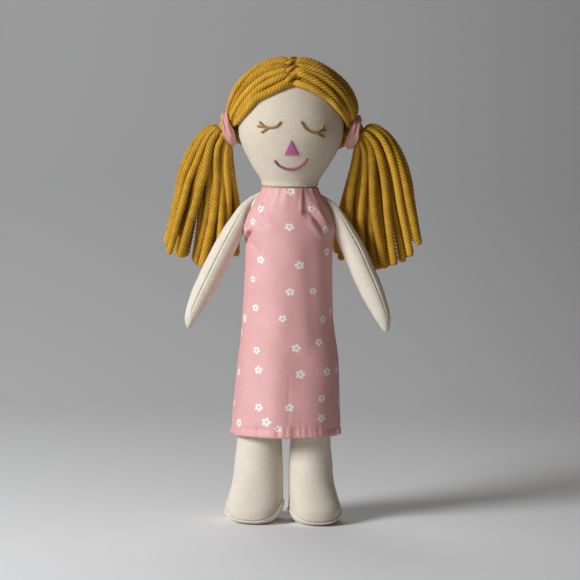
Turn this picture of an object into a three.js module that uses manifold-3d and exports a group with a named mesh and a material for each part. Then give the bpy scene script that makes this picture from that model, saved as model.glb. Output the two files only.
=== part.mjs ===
// A rag doll of the Waldorf kind: canvas skins with fibre stuffing, yarn hair in two pigtails, a cotton shift.
// It stands on its soles and faces -Y. +Z is up and +X is the doll's own left. Sizes are in millimetres.

import * as THREE from 'three';
import { mergeVertices } from 'three/addons/utils/BufferGeometryUtils.js';
import Module from 'manifold-3d';

const wasm = await Module();
wasm.setup();

// Cloth and clearances
const GAP = 0.35;
const FIBRE_GAP = 0.85;
const CANVAS = 0.9;
const COTTON = 1;
const SCALP_GAP = 0.55;
const THREAD_GAP = 0.45;

// Head, from the neck seam upwards
const NECK_HEIGHT = 250;
const NECK_WIDTH = 40;
const NECK_DEPTH = 35;
const NECK_LENGTH = 4;
const HEAD_HEIGHT = 93;
const HEAD_WIDTH = 79.6;
const HEAD_DEPTH = 70;
const HEAD_WIDEST = 48;
const JAW_FULLNESS = 0.8;

// Torso, from the neck down to the hip seam
const SHOULDER_HEIGHT = 243;
const SHOULDER_WIDTH = 53;
const CHEST_WIDTH = 54;
const BELLY_WIDTH = 58;
const BELLY_HEIGHT = 166;
const HIP_HEIGHT = 131;
const HIP_WIDTH = 56;
const BODY_DEPTH = 40;
const CHEST_DEPTH = 38.4;
const HIP_TAPER = 22;
const SEAM_RADIUS = 1.5;
const SEAM_EDGE = 3.6;

// Arms, measured along the arm from the shoulder seam
const ARM_LENGTH = 107;
const ARM_ANGLE = 24.5;
const ARM_TOP_WIDTH = 6;
const ARM_WIDTH = 18.2;
const ARM_DEPTH = 16.4;
const ARM_ROOT_FLATNESS = 0.7;
const ARM_FLAT_LENGTH = 12;
// Shares of the length, then of the width
const ARM_SHAPE = [[0.1, 0.48], [0.18, 0.68], [0.3, 0.92], [0.5, 0.98], [0.7, 1], [0.8, 0.9], [0.9, 0.67],
  [0.98, 0.32]];
const ARM_ROWS = [0, 0.05, 0.1, 0.18, 0.3, 0.5, 0.7, 0.8, 0.9, 0.95, 0.98];

// Legs and feet
const LEG_SPACING = 38;
const LEG_WIDTH = 33;
const LEG_DEPTH = 31;
const LEG_TOP_WIDTH = 23;
const ANKLE_HEIGHT = 50;
const ANKLE_WIDTH = 36;
const ANKLE_DEPTH = 32;
const INSTEP_HEIGHT = 28;
const INSTEP_WIDTH = 40.5;
const INSTEP_FULLNESS = 0.36;
const FOOT_SPACING = 45.4;
const FOOT_WIDTH = 44;
const FOOT_SQUARENESS = 0.25;
const FOOT_HEIGHT = 10;
const TOE_REACH = 31.5;
const HEEL_REACH = 17.5;
const TOE_OUT = 8;
const SOLE_THICKNESS = 3;
const SOLE_RIM = 0.8;
const SOLE_TUCK = 0.6;

// Hair
const HAIR_THICKNESS = 8;
const HAIR_PARTING_SHARE = 0.62;
const HAIR_SWELL = 2.5;
const STRANDS = 9;
const STRAND_RIDGE = 1.6;
const HAIRLINE_FRONT = 46;
const HAIRLINE_BACK = 230;
const HAIRLINE_SAG = 0.2;
const STRAND_END = 0.87;
const PARTING_RISE = 4.8;
const PARTING_WIDTH = 2.1;
const PARTING_STITCHES = 16;
const STITCH_PINCH = 0.28;
const PARTING_ROOM = 1.6;
const TIE_HEIGHT = 297;
const TIE_SETBACK = 4;
const TIE_TILT = 24;
const TIE_STANDOFF = 9.7;
const TIE_BORE = 18.8;
const TIE_BAND = 9;
const TIE_THICKNESS = 3.4;
const TIE_FOLD = 1.16;
const TIE_FOLDS = 8;
const TIE_SEAT = 4;
const TIE_SEAT_REACH = 24;
const PIGTAIL_LENGTH = 96;
const PIGTAIL_WIDTH = 57;
const PIGTAIL_DEPTH = 28;
const PIGTAIL_NECK = 9;
const PIGTAIL_SETBACK = 25;
const PIGTAIL_LOBES = 9;
const PIGTAIL_RAGGED = 5;
const PIGTAIL_RAGGED_STEP = 2.4;
const PIGTAIL_GROOVE = 0.09;
const PIGTAIL_TOP_WIDTH = 20.2;
const PIGTAIL_TOP_LEAN = 1.1;
const PIGTAIL_BEND_LEAN = 4.5;
const PIGTAIL_LEAN = 7.5;
const PIGTAIL_BEND = 0.12;
// Shares of the length, then of the width and of the depth
const PIGTAIL_FAN = [[PIGTAIL_BEND, 0.52], [0.3, 0.76], [0.62, 0.95], [0.84, 1], [1, 0.96]];
const PIGTAIL_BULK = [[0.2, 0.86], [0.84, 1], [1, 0.94]];
const PIGTAIL_DOME = [0.85, 0.5];
const PIGTAIL_ROWS = [0, 0.05, PIGTAIL_BEND, 0.2, 0.3, 0.45, 0.62, 0.84, 1];

// Dress
const HEM_HEIGHT = 68.5;
const HEM_WIDTH = 82;
const HEM_DEPTH = 61;
const ARMHOLE_HEIGHT = 212;
const ARMHOLE_ANGLE = 19;
const ARMHOLE_CURVE = [0.4, 0.8];
const DRESS_EASE = 5.5;
const DRESS_EASE_FRONT = 3.9;
const CHEST_EASE = 0.9;
const SHOULDER_EASE = 2.4;
const SHOULDER_DROP = 3;
const BINDING_RADIUS = 1.8;
const NECK_GATHER = 1.1;
const NECK_GATHERS = 22;
const SKIRT_FOLD = 1.5;
const SKIRT_FOLDS = 7;
const SKIRT_FOLD_START = 0.6;
const DRESS_ROWS = [0, 0.04, 0.14, 0.28, 0.42, 0.56, 0.68, 0.785, 0.82, 0.87, 0.92, 0.96, 1];

// Embroidery, placed from the middle of the face
const THREAD_RADIUS = 0.8;
const EYE_HEIGHT = 297;
const EYE_INNER = 7.5;
const EYE_OUTER = 19.5;
const EYE_RISE = 6;
const LID_BEND = [0.45, 0.15];
const LASH = 5.5;
const LASH_ANGLES = [48, 4, -46];
const LASH_OVERLAP = 0.4;
const NOSE_HEIGHT = 277.7;
const NOSE_WIDTH = 9.8;
const NOSE_RISE = 10;
const NOSE_TIP = 1.2;
const NOSE_PAD = 0.9;
const MOUTH_HEIGHT = 266.6;
const MOUTH_WIDTH = 24;
const MOUTH_RISE = 6.8;
// Shares of the width, then of the rise
const MOUTH_SHAPE = [[-0.5, 1], [-0.24, 0.16], [0.04, 0], [0.26, 0.2], [0.5, 1]];

// Facets round each piece
const SKIN_FACETS = 20;
const HEAD_FIBRE_FACETS = 14;
const TORSO_FIBRE_FACETS = 12;
const ARM_FACETS = 14;
const ARM_FIBRE_FACETS = 10;
const LEG_FACETS = 18;
const LEG_FIBRE_FACETS = 12;
const SOLE_FACETS = 24;
const SEAM_FACETS = 12;
const HAIR_ROWS = 7;
const HAIR_FACETS = 3;
const PARTING_FACETS = 5;
const TIE_DRUM_FACETS = 20;
const TIE_SECTION_FACETS = 6;
const TIE_FOLD_FACETS = 3;
const PIGTAIL_FACETS = 4;
const DRESS_COLUMNS = 20;
const BINDING_TURNS = 24;
const BINDING_FACETS = 6;
const THREAD_FACETS = 5;
const LID_STEPS = 6;
const MOUTH_STEPS = 12;
const NOSE_ROWS = 3;
const NOSE_COLUMNS = 4;
const HEAD_SKIN_ROWS = 5;
const HEAD_FIBRE_ROWS = 4;

const CANVAS_CREAM = { color: 0xe9e2d2, roughness: 0.9, metalness: 0 };
const FIBRE = { color: 0xf4f1ea, roughness: 1, metalness: 0 };
const GOLD_YARN = { color: 0xc0902f, roughness: 0.95, metalness: 0 };
const PINK_COTTON = { color: 0xeeb3ae, roughness: 0.85, metalness: 0 };
const ROSE_BAND = { color: 0xe8a79b, roughness: 0.85, metalness: 0 };
const BROWN_THREAD = { color: 0xb07d3c, roughness: 0.7, metalness: 0 };
const PLUM_THREAD = { color: 0x9b4f7c, roughness: 0.7, metalness: 0 };
const MAUVE_THREAD = { color: 0x8a5560, roughness: 0.7, metalness: 0 };

const { degToRad, lerp, smoothstep } = THREE.MathUtils;
const TAU = 2 * Math.PI;
const SIDES = { left: 1, right: -1 };
const vec = (x, y, z) => new THREE.Vector3(x, y, z);
const steps = (count) => Array.from({ length: count + 1 }, (_, i) => i / count);

// Smooth curve through [position, value] pairs that never overshoots them
function profile(knots) {
  const rise = knots.slice(1).map(([s, v], i) => (v - knots[i][1]) / (s - knots[i][0]));
  const slope = knots.map((_, i) => {
    const [before, after] = [rise[i - 1], rise[i]];
    if (before === undefined || after === undefined) return before ?? after;
    return before * after > 0 ? (2 * before * after) / (before + after) : 0;
  });
  return (position) => {
    const last = knots.length - 2;
    const found = knots.findIndex(([s]) => position < s) - 1;
    const i = found < 0 ? (position < knots[0][0] ? 0 : last) : found;
    const span = knots[i + 1][0] - knots[i][0];
    const t = THREE.MathUtils.clamp((position - knots[i][0]) / span, 0, 1);
    const [v0, v1] = [knots[i][1], knots[i + 1][1]];
    const ease = t * t * (3 - 2 * t);
    const bow = t * (1 - t) * span * (slope[i] * (1 - t) - slope[i + 1] * t);
    return lerp(v0, v1, ease) + bow;
  };
}

// Six times the volume that the triangles enclose, negative where they face inwards
function signedVolume(points, faces) {
  let total = 0;
  for (let i = 0; i < faces.length; i += 3) {
    const [a, b, c] = [points[faces[i]], points[faces[i + 1]], points[faces[i + 2]]];
    total += a.dot(b.clone().cross(c));
  }
  return total;
}

function closedBody(points, faces) {
  const outward = signedVolume(points, faces) < 0 ? faces.slice().reverse() : faces;
  const geometry = new THREE.BufferGeometry().setFromPoints(points);
  geometry.setIndex(outward);
  geometry.computeVertexNormals();
  return geometry;
}

const middle = (loop) => loop.reduce((sum, p) => sum.add(p), vec(0, 0, 0)).divideScalar(loop.length);

// One body through a row of loops with equal counts. Its ends close to a point, or to each other in a ring.
function loft(loops, { start, end, ring = false } = {}) {
  const count = loops[0].length;
  const points = loops.flat();
  const faces = [];
  const rows = ring ? loops.length : loops.length - 1;
  for (let row = 0; row < rows; row += 1) {
    const here = row * count;
    const next = ((row + 1) % loops.length) * count;
    for (let i = 0; i < count; i += 1) {
      const j = (i + 1) % count;
      faces.push(here + i, here + j, next + j, here + i, next + j, next + i);
    }
  }
  if (!ring) {
    const last = (loops.length - 1) * count;
    const startTip = points.push(start ?? middle(loops[0])) - 1;
    const endTip = points.push(end ?? middle(loops.at(-1))) - 1;
    for (let i = 0; i < count; i += 1) {
      const j = (i + 1) % count;
      faces.push(startTip, j, i, endTip, last + i, last + j);
    }
  }
  return closedBody(points, faces);
}

// One body between two grids of points that lie a wall apart
function slab(outer, inner) {
  const rows = outer.length;
  const columns = outer[0].length;
  const points = [...outer.flat(), ...inner.flat()];
  const under = rows * columns;
  const at = (row, column) => row * columns + column;
  const faces = [];
  for (let row = 0; row < rows - 1; row += 1) {
    for (let column = 0; column < columns - 1; column += 1) {
      const [a, b] = [at(row, column), at(row, column + 1)];
      const [c, d] = [at(row + 1, column + 1), at(row + 1, column)];
      faces.push(a, b, c, a, c, d);
      faces.push(under + c, under + b, under + a, under + d, under + c, under + a);
    }
  }
  const edge = [];
  for (let column = 0; column < columns - 1; column += 1) edge.push(at(0, column));
  for (let row = 0; row < rows - 1; row += 1) edge.push(at(row, columns - 1));
  for (let column = columns - 1; column > 0; column -= 1) edge.push(at(rows - 1, column));
  for (let row = rows - 1; row > 0; row -= 1) edge.push(at(row, 0));
  edge.forEach((a, i) => {
    const b = edge[(i + 1) % edge.length];
    faces.push(b, a, under + a, b, under + a, under + b);
  });
  return closedBody(points, faces);
}

// A level oval loop. A squareness above 2 fills its corners.
function oval(x, y, z, halfWidth, halfDepth, count, squareness = 2) {
  const bulge = (value) => Math.sign(value) * Math.abs(value) ** (2 / squareness);
  return steps(count).slice(0, count).map((t) => vec(
    x + halfWidth * bulge(Math.cos(TAU * t)),
    y + halfDepth * bulge(Math.sin(TAU * t)),
    z,
  ));
}

// A cloth bag, open at its first station: up the inner face from the closed end, then back over the outer one
function bag(loopAt, stations, innerEnd, outerEnd) {
  const inner = stations.map((s) => loopAt(Math.min(s, innerEnd), CANVAS)).reverse();
  const outer = stations.map((s) => loopAt(s, 0));
  return loft([...inner, ...outer], { start: vec(0, 0, innerEnd), end: vec(0, 0, outerEnd) });
}

// A cloth tube, open at both ends
function sleeve(loopAt, stations) {
  const inner = stations.map((s) => loopAt(s, CANVAS)).reverse();
  const outer = stations.map((s) => loopAt(s, 0));
  return loft([...inner, ...outer], { ring: true });
}

function tube(path, radius, count, sides) {
  const section = new THREE.Shape(steps(sides).slice(0, sides).map((t) => new THREE.Vector2(
    radius * Math.cos(TAU * t),
    radius * Math.sin(TAU * t),
  )));
  return new THREE.ExtrudeGeometry(section, { extrudePath: path, steps: count, bevelEnabled: false });
}

function toSolid(geometry) {
  const bare = geometry.clone();
  bare.deleteAttribute('normal');
  bare.deleteAttribute('uv');
  const merged = mergeVertices(bare, 1e-5);
  return new wasm.Manifold(new wasm.Mesh({
    numProp: 3,
    vertProperties: merged.attributes.position.array,
    triVerts: Uint32Array.from(merged.index.array),
  }));
}

function toGeometry(solid) {
  const mesh = solid.getMesh();
  const geometry = new THREE.BufferGeometry();
  geometry.setAttribute('position', new THREE.BufferAttribute(mesh.vertProperties, 3));
  geometry.setIndex(new THREE.BufferAttribute(mesh.triVerts, 1));
  geometry.computeVertexNormals();
  return geometry;
}

const union = (geometries) => toGeometry(geometries.map(toSolid).reduce((all, next) => all.add(next)));

const doll = new THREE.Group();
doll.name = 'waldorf_doll';

function addPiece(name, geometry, finish, parent = doll) {
  const mesh = new THREE.Mesh(geometry, new THREE.MeshStandardMaterial(finish));
  mesh.name = name;
  parent.add(mesh);
  return mesh;
}

// Head: a straight neck, a jaw that swells like a light bulb, and a domed crown
function headRadii(height, offset = 0) {
  const swell = Math.sin((Math.PI / 2) * smoothRise(height)) ** JAW_FULLNESS;
  if (height <= HEAD_WIDEST) {
    return [
      lerp(NECK_WIDTH, HEAD_WIDTH, swell) / 2 + offset,
      lerp(NECK_DEPTH, HEAD_DEPTH, swell) / 2 + offset,
    ];
  }
  const climb = (height - HEAD_WIDEST) / (HEAD_HEIGHT - HEAD_WIDEST + offset);
  const dome = Math.sqrt(Math.max(0, 1 - climb * climb));
  return [(HEAD_WIDTH / 2 + offset) * dome, (HEAD_DEPTH / 2 + offset) * dome];
}

function smoothRise(height) {
  return THREE.MathUtils.clamp((height - NECK_LENGTH) / (HEAD_WIDEST - NECK_LENGTH), 0, 1);
}

const headLoop = (height, inset, count) => oval(0, 0, height, ...headRadii(height, -inset), count);

function headStations(jawRows, domeRows) {
  const jaw = steps(jawRows).map((t) => lerp(NECK_LENGTH, HEAD_WIDEST, t));
  const dome = steps(domeRows).slice(1, domeRows).map((t) => (
    HEAD_WIDEST + (HEAD_HEIGHT - HEAD_WIDEST) * Math.sin((Math.PI / 2) * t)
  ));
  return [0, ...jaw, ...dome];
}

const head = new THREE.Group();
head.position.z = NECK_HEIGHT;
doll.add(head);
addPiece('head_skin', bag(
  (height, inset) => headLoop(height, inset, SKIN_FACETS),
  headStations(HEAD_SKIN_ROWS, HEAD_SKIN_ROWS),
  HEAD_HEIGHT - 2 * CANVAS,
  HEAD_HEIGHT,
), CANVAS_CREAM, head);

const FIBRE_INSET = CANVAS + FIBRE_GAP;
addPiece('head_stuffing', loft(
  headStations(HEAD_FIBRE_ROWS, HEAD_FIBRE_ROWS)
    .map((height) => headLoop(height, FIBRE_INSET, HEAD_FIBRE_FACETS)),
  { end: vec(0, 0, HEAD_HEIGHT - 2 * FIBRE_INSET) },
), FIBRE, head);

// The point of the face or scalp that a direction from the middle of the head meets
function onHead(direction, offset) {
  let [near, far] = [0, HEAD_HEIGHT];
  const point = vec(0, 0, 0);
  while (far - near > 1e-6) {
    const reach = (near + far) / 2;
    point.copy(direction).multiplyScalar(reach);
    const [width, depth] = headRadii(point.z + HEAD_WIDEST, offset);
    const inside = (point.x / width) ** 2 + (point.y / depth) ** 2 < 1;
    if (inside) near = reach;
    else far = reach;
  }
  return point.add(vec(0, 0, HEAD_WIDEST));
}

// Torso: narrow at the neck, sloping shoulders, and a lower edge sewn flat
const TORSO_LENGTH = NECK_HEIGHT - HIP_HEIGHT - SEAM_RADIUS - 2 * GAP;
const torsoWidth = profile([
  [0, NECK_WIDTH / 2],
  [NECK_HEIGHT - SHOULDER_HEIGHT, SHOULDER_WIDTH / 2],
  [NECK_HEIGHT - ARMHOLE_HEIGHT, CHEST_WIDTH / 2],
  [NECK_HEIGHT - BELLY_HEIGHT, BELLY_WIDTH / 2],
  [TORSO_LENGTH, HIP_WIDTH / 2],
]);
const torsoDepth = profile([
  [0, NECK_DEPTH / 2],
  [NECK_HEIGHT - ARMHOLE_HEIGHT, CHEST_DEPTH / 2],
  [NECK_HEIGHT - BELLY_HEIGHT, BODY_DEPTH / 2],
  [TORSO_LENGTH - HIP_TAPER, CHEST_DEPTH / 2],
  [TORSO_LENGTH, SEAM_EDGE / 2],
]);
const torsoLoop = (s, inset, count) => oval(0, 0, s, torsoWidth(s) - inset, torsoDepth(s) - inset, count);
const torso = new THREE.Group();
torso.position.z = NECK_HEIGHT - GAP;
torso.rotation.x = Math.PI;
doll.add(torso);
const chestStation = NECK_HEIGHT - ARMHOLE_HEIGHT;
const shoulderStation = NECK_HEIGHT - SHOULDER_HEIGHT;
const torsoStations = [0, shoulderStation / 2, shoulderStation, (shoulderStation + chestStation) / 2,
  chestStation, NECK_HEIGHT - BELLY_HEIGHT,
  TORSO_LENGTH - HIP_TAPER, TORSO_LENGTH - HIP_TAPER / 2, TORSO_LENGTH];
addPiece('torso_skin', bag(
  (s, inset) => torsoLoop(s, inset, SKIN_FACETS),
  torsoStations,
  TORSO_LENGTH - 2 * CANVAS,
  TORSO_LENGTH,
), CANVAS_CREAM, torso);
addPiece('torso_stuffing', loft(
  torsoStations.slice(0, -1).map((s) => torsoLoop(s, FIBRE_INSET, TORSO_FIBRE_FACETS)),
), FIBRE, torso);

// Hip seam: the rolled seam that closes the torso, on which the legs fold
const hipSeam = new THREE.CylinderGeometry(SEAM_RADIUS, SEAM_RADIUS, HIP_WIDTH, SEAM_FACETS);
const hipSeamMesh = addPiece('hip_seam', hipSeam, CANVAS_CREAM);
hipSeamMesh.rotation.z = Math.PI / 2;
hipSeamMesh.position.z = HIP_HEIGHT;

// Arms: tubes that start as a narrow flat edge at the shoulder and end in a round hand
const armWidth = profile([
  [0, ARM_TOP_WIDTH / 2],
  ...ARM_SHAPE.map(([along, width]) => [along * ARM_LENGTH, (width * ARM_WIDTH) / 2]),
]);
const armFlatness = (s) => lerp(ARM_ROOT_FLATNESS, 1, smoothstep(s, 0, ARM_FLAT_LENGTH));
const armDepth = (s) => (ARM_DEPTH / ARM_WIDTH) * armWidth(s) * armFlatness(s);
const armLoop = (s, inset, count) => oval(0, 0, s, armWidth(s) - inset, armDepth(s) - inset, count);
const armStations = ARM_ROWS.map((t) => t * ARM_LENGTH);
const armLean = degToRad(ARM_ANGLE);
const shoulder = vec(
  SHOULDER_WIDTH / 2 + GAP + (ARM_TOP_WIDTH / 2) * Math.cos(armLean),
  0,
  SHOULDER_HEIGHT + (ARM_TOP_WIDTH / 2) * Math.sin(armLean),
);
for (const [name, side] of Object.entries(SIDES)) {
  const arm = new THREE.Group();
  arm.position.set(side * shoulder.x, shoulder.y, shoulder.z);
  arm.rotation.y = side * (Math.PI - armLean);
  doll.add(arm);
  addPiece(`${name}_arm_skin`, bag(
    (s, inset) => armLoop(s, inset, ARM_FACETS),
    armStations,
    ARM_LENGTH - CANVAS - GAP,
    ARM_LENGTH,
  ), CANVAS_CREAM, arm);
  addPiece(`${name}_arm_stuffing`, loft(
    armStations.slice(2, -2).map((s) => armLoop(s, FIBRE_INSET, ARM_FIBRE_FACETS)),
  ), FIBRE, arm);
}

// Legs: tubes that taper to a flat edge at the hip seam and widen into feet that turn out
const LEG_BOTTOM = SOLE_THICKNESS + GAP;
const LEG_TOP = HIP_HEIGHT - SEAM_RADIUS - GAP;
const legWidth = profile([
  [LEG_BOTTOM, FOOT_WIDTH / 2 - SOLE_TUCK],
  [FOOT_HEIGHT, FOOT_WIDTH / 2],
  [INSTEP_HEIGHT, INSTEP_WIDTH / 2],
  [ANKLE_HEIGHT, ANKLE_WIDTH / 2],
  [HEM_HEIGHT, LEG_WIDTH / 2],
  [LEG_TOP - HIP_TAPER, LEG_WIDTH / 2],
  [LEG_TOP, LEG_TOP_WIDTH / 2],
]);
const reach = (foot) => profile([
  [LEG_BOTTOM, foot],
  [FOOT_HEIGHT, foot],
  [INSTEP_HEIGHT, lerp(ANKLE_DEPTH / 2, foot, INSTEP_FULLNESS)],
  [ANKLE_HEIGHT, ANKLE_DEPTH / 2],
  [LEG_TOP - HIP_TAPER, LEG_DEPTH / 2],
  [LEG_TOP, SEAM_EDGE / 2],
]);
const legFront = reach(TOE_REACH);
const legBack = reach(HEEL_REACH);
const legCentre = profile([
  [LEG_BOTTOM, FOOT_SPACING / 2],
  [FOOT_HEIGHT, FOOT_SPACING / 2],
  [ANKLE_HEIGHT, LEG_SPACING / 2],
  [LEG_TOP, LEG_SPACING / 2],
]);

// A level loop round one leg. The foot is squarer than the leg and turned outwards.
function legLoop(z, inset, count, side) {
  const foot = 1 - smoothstep(z, FOOT_HEIGHT, ANKLE_HEIGHT);
  const [front, back] = [legFront(z), legBack(z)];
  const centre = vec(side * legCentre(z), 0, 0);
  const halfDepth = (front + back) / 2 - inset;
  const squareness = 2 + FOOT_SQUARENESS * foot;
  const loop = oval(0, (back - front) / 2, z, legWidth(z) - inset, halfDepth, count, squareness);
  return loop.map((p) => p.applyAxisAngle(vec(0, 0, 1), side * foot * degToRad(TOE_OUT)).add(centre));
}

const legStations = [LEG_BOTTOM, (LEG_BOTTOM + FOOT_HEIGHT) / 2, FOOT_HEIGHT, (FOOT_HEIGHT + INSTEP_HEIGHT) / 2,
  INSTEP_HEIGHT, (INSTEP_HEIGHT + ANKLE_HEIGHT) / 2, ANKLE_HEIGHT, HEM_HEIGHT,
  LEG_TOP - HIP_TAPER, LEG_TOP - HIP_TAPER / 2, LEG_TOP];
for (const [name, side] of Object.entries(SIDES)) {
  const skinLoop = (z, inset) => legLoop(z, inset, LEG_FACETS, side);
  addPiece(`${name}_leg_skin`, sleeve(skinLoop, legStations), CANVAS_CREAM);
  const fibreStations = [LEG_BOTTOM + GAP, ...legStations.slice(1, -1)];
  addPiece(`${name}_leg_stuffing`, loft(
    fibreStations.map((z) => legLoop(z, FIBRE_INSET, LEG_FIBRE_FACETS, side)),
  ), FIBRE);
  const rim = legLoop(LEG_BOTTOM, -SOLE_RIM, SOLE_FACETS, side);
  const outline = new THREE.Shape(rim.map((p) => new THREE.Vector2(p.x, p.y)));
  addPiece(`${name}_sole`, new THREE.ExtrudeGeometry(outline, {
    depth: SOLE_THICKNESS,
    bevelEnabled: false,
  }), CANVAS_CREAM);
}

// Hair: strands of yarn laid over the scalp from the parting to the tie, so each half is a ridged cap
const tieAxis = vec(Math.cos(degToRad(TIE_TILT)), 0, -Math.sin(degToRad(TIE_TILT)));
const tieCentre = vec(HEAD_WIDTH / 2 + TIE_STANDOFF, TIE_SETBACK, TIE_HEIGHT - NECK_HEIGHT);
const tieDirection = vec(HEAD_WIDTH / 2, TIE_SETBACK, tieCentre.z - HEAD_WIDEST).normalize();
const STRAND_START = PARTING_ROOM / (HEAD_WIDTH / 2) / (Math.PI / 2);

function partingDirection(along) {
  const angle = degToRad(lerp(HAIRLINE_FRONT, HAIRLINE_BACK, along));
  return vec(0, -Math.cos(angle), Math.sin(angle));
}

// Direction of a strand, where along is its place on the parting and run goes from the parting to the tie
function strandDirection(along, run) {
  const start = partingDirection(along);
  const angle = start.angleTo(tieDirection);
  const sag = HAIRLINE_SAG * (1 - along) ** 2 * Math.sin(Math.PI * run);
  return start.multiplyScalar(Math.sin((1 - run) * angle) / Math.sin(angle))
    .addScaledVector(tieDirection, Math.sin(run * angle) / Math.sin(angle))
    .add(vec(0, -sag, -sag))
    .normalize();
}

function hairGrid(heightAt) {
  return steps(HAIR_ROWS).map((row) => {
    const run = lerp(STRAND_START, STRAND_END, row);
    return steps(STRANDS * HAIR_FACETS).map((along) => {
      const direction = strandDirection(along, run);
      return onHead(direction, SCALP_GAP).addScaledVector(direction, heightAt(along, row));
    });
  });
}

function hairHeight(along, row) {
  const ridge = Math.abs(Math.sin(Math.PI * STRANDS * along)) - 1 / 2;
  const swell = Math.sin((Math.PI / 2) * Math.min(1, HAIR_SWELL * row));
  return HAIR_THICKNESS * lerp(HAIR_PARTING_SHARE, 1, swell) + STRAND_RIDGE * ridge;
}

// A drum round the axis of the tie, between two distances from the middle of the band
function tieDrum(radius, from, to) {
  const drum = new THREE.CylinderGeometry(radius, radius, to - from, TIE_DRUM_FACETS);
  drum.translate(0, (from + to) / 2, 0);
  drum.applyQuaternion(new THREE.Quaternion().setFromUnitVectors(vec(0, 1, 0), tieAxis));
  return drum.translate(tieCentre.x, tieCentre.y, tieCentre.z);
}

// Half of the hair: the cap, pressed in where the band lies on it, and the yarn drawn together through the tie
function hairHalf() {
  const cap = toSolid(slab(hairGrid(hairHeight), hairGrid(() => 0)));
  const room = TIE_BORE / 2 + TIE_THICKNESS + 2 * GAP;
  const seat = tieDrum(room, -TIE_FOLD * TIE_BAND / 2 - GAP, TIE_SEAT_REACH);
  const bundle = tieDrum(TIE_BORE / 2 - GAP, TIE_SEAT - TIE_STANDOFF, TIE_BAND / 2);
  return toGeometry(cap.subtract(toSolid(seat)).add(toSolid(bundle)));
}

function mirrored(geometry, side) {
  if (side > 0) return geometry;
  const copy = mergeVertices(geometry.clone().scale(-1, 1, 1));
  return copy.setIndex(Array.from(copy.index.array).reverse());
}

const hair = hairHalf();
for (const [name, side] of Object.entries(SIDES)) {
  addPiece(`${name}_hair`, mirrored(hair, side), GOLD_YARN, head);
}

// Parting: a row of stitches that sews the yarn down along the middle of the scalp
function partingLoops() {
  return steps(2 * PARTING_STITCHES).map((along) => {
    const direction = partingDirection(along);
    const pinch = 1 - STITCH_PINCH * (1 - Math.abs(Math.sin(Math.PI * PARTING_STITCHES * along)));
    const centre = onHead(direction, SCALP_GAP + PARTING_RISE / 2);
    return steps(PARTING_FACETS).slice(0, PARTING_FACETS).map((t) => centre.clone()
      .addScaledVector(direction, (PARTING_RISE / 2) * pinch * Math.cos(TAU * t))
      .add(vec((PARTING_WIDTH / 2) * pinch * Math.sin(TAU * t), 0, 0)));
  });
}
addPiece('hair_parting', loft(partingLoops()), GOLD_YARN, head);

// Hair ties: soft bands with gathered folds round each bunch
function tieBand() {
  const turns = TIE_FOLDS * TIE_FOLD_FACETS;
  const across = vec(0, 1, 0);
  const upright = tieAxis.clone().cross(across);
  const wall = TIE_THICKNESS / 2;
  const loops = steps(turns).slice(0, turns).map((turn) => {
    const outward = across.clone().multiplyScalar(Math.cos(TAU * turn))
      .addScaledVector(upright, Math.sin(TAU * turn));
    const fold = 1 + (TIE_FOLD - 1) * Math.cos(TAU * turn * TIE_FOLDS);
    const centre = tieCentre.clone().addScaledVector(outward, TIE_BORE / 2 + wall);
    return steps(TIE_SECTION_FACETS).slice(0, TIE_SECTION_FACETS).map((t) => centre.clone()
      .addScaledVector(tieAxis, (TIE_BAND / 2) * fold * Math.cos(TAU * t))
      .addScaledVector(outward, wall * Math.sin(TAU * t)));
  });
  return loft(loops, { ring: true });
}
for (const [name, side] of Object.entries(SIDES)) {
  addPiece(`${name}_hair_tie`, mirrored(tieBand(), side), ROSE_BAND, head);
}

// Pigtails: loose yarn that rounds over at the tie, fans out as it falls behind the arm and ends unevenly
const pigtailPivot = tieCentre.clone().addScaledVector(tieAxis, TIE_BAND / 2 + GAP + PIGTAIL_NECK);
const pigtailShape = (top, half, shares) => profile([
  [0, top],
  ...shares.map(([along, share]) => [along * PIGTAIL_LENGTH, share * half]),
]);
const pigtailWidth = pigtailShape(PIGTAIL_TOP_WIDTH / 2, PIGTAIL_WIDTH / 2, PIGTAIL_FAN);
const pigtailDepth = pigtailShape(PIGTAIL_NECK, PIGTAIL_DEPTH / 2, PIGTAIL_BULK);
const pigtailLean = profile([
  [0, PIGTAIL_TOP_LEAN],
  [PIGTAIL_BEND * PIGTAIL_LENGTH, PIGTAIL_BEND_LEAN],
  [PIGTAIL_LENGTH, PIGTAIL_LEAN],
]);
const pigtailBack = (s) => (PIGTAIL_SETBACK * s) / PIGTAIL_LENGTH;

function pigtail() {
  const count = PIGTAIL_FACETS * PIGTAIL_LOBES;
  const dome = PIGTAIL_DOME.map((rise) => {
    const radius = PIGTAIL_NECK * Math.sqrt(1 - rise * rise);
    return oval(0, 0, PIGTAIL_NECK * rise, radius, radius, count);
  });
  const fall = PIGTAIL_ROWS.map((drop) => {
    const s = drop * PIGTAIL_LENGTH;
    const loop = oval(pigtailLean(s), pigtailBack(s), -s, pigtailWidth(s), pigtailDepth(s), count);
    const centre = middle(loop);
    return loop.map((p, i) => {
      const valley = (1 - Math.cos((TAU * i) / PIGTAIL_FACETS)) / 2;
      const groove = 1 - PIGTAIL_GROOVE * Math.cbrt(drop) * valley;
      const lobe = Math.floor(i / PIGTAIL_FACETS);
      const cut = drop === 1 ? PIGTAIL_RAGGED * Math.sin(PIGTAIL_RAGGED_STEP * lobe) : 0;
      return p.sub(centre).multiplyScalar(groove).add(centre).add(vec(0, 0, cut));
    });
  });
  return loft([...dome, ...fall], { start: vec(0, 0, PIGTAIL_NECK) });
}
for (const [name, side] of Object.entries(SIDES)) {
  const piece = addPiece(`${name}_pigtail`, mirrored(pigtail(), side), GOLD_YARN, head);
  piece.position.set(side * pigtailPivot.x, pigtailPivot.y, pigtailPivot.z);
}

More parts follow.
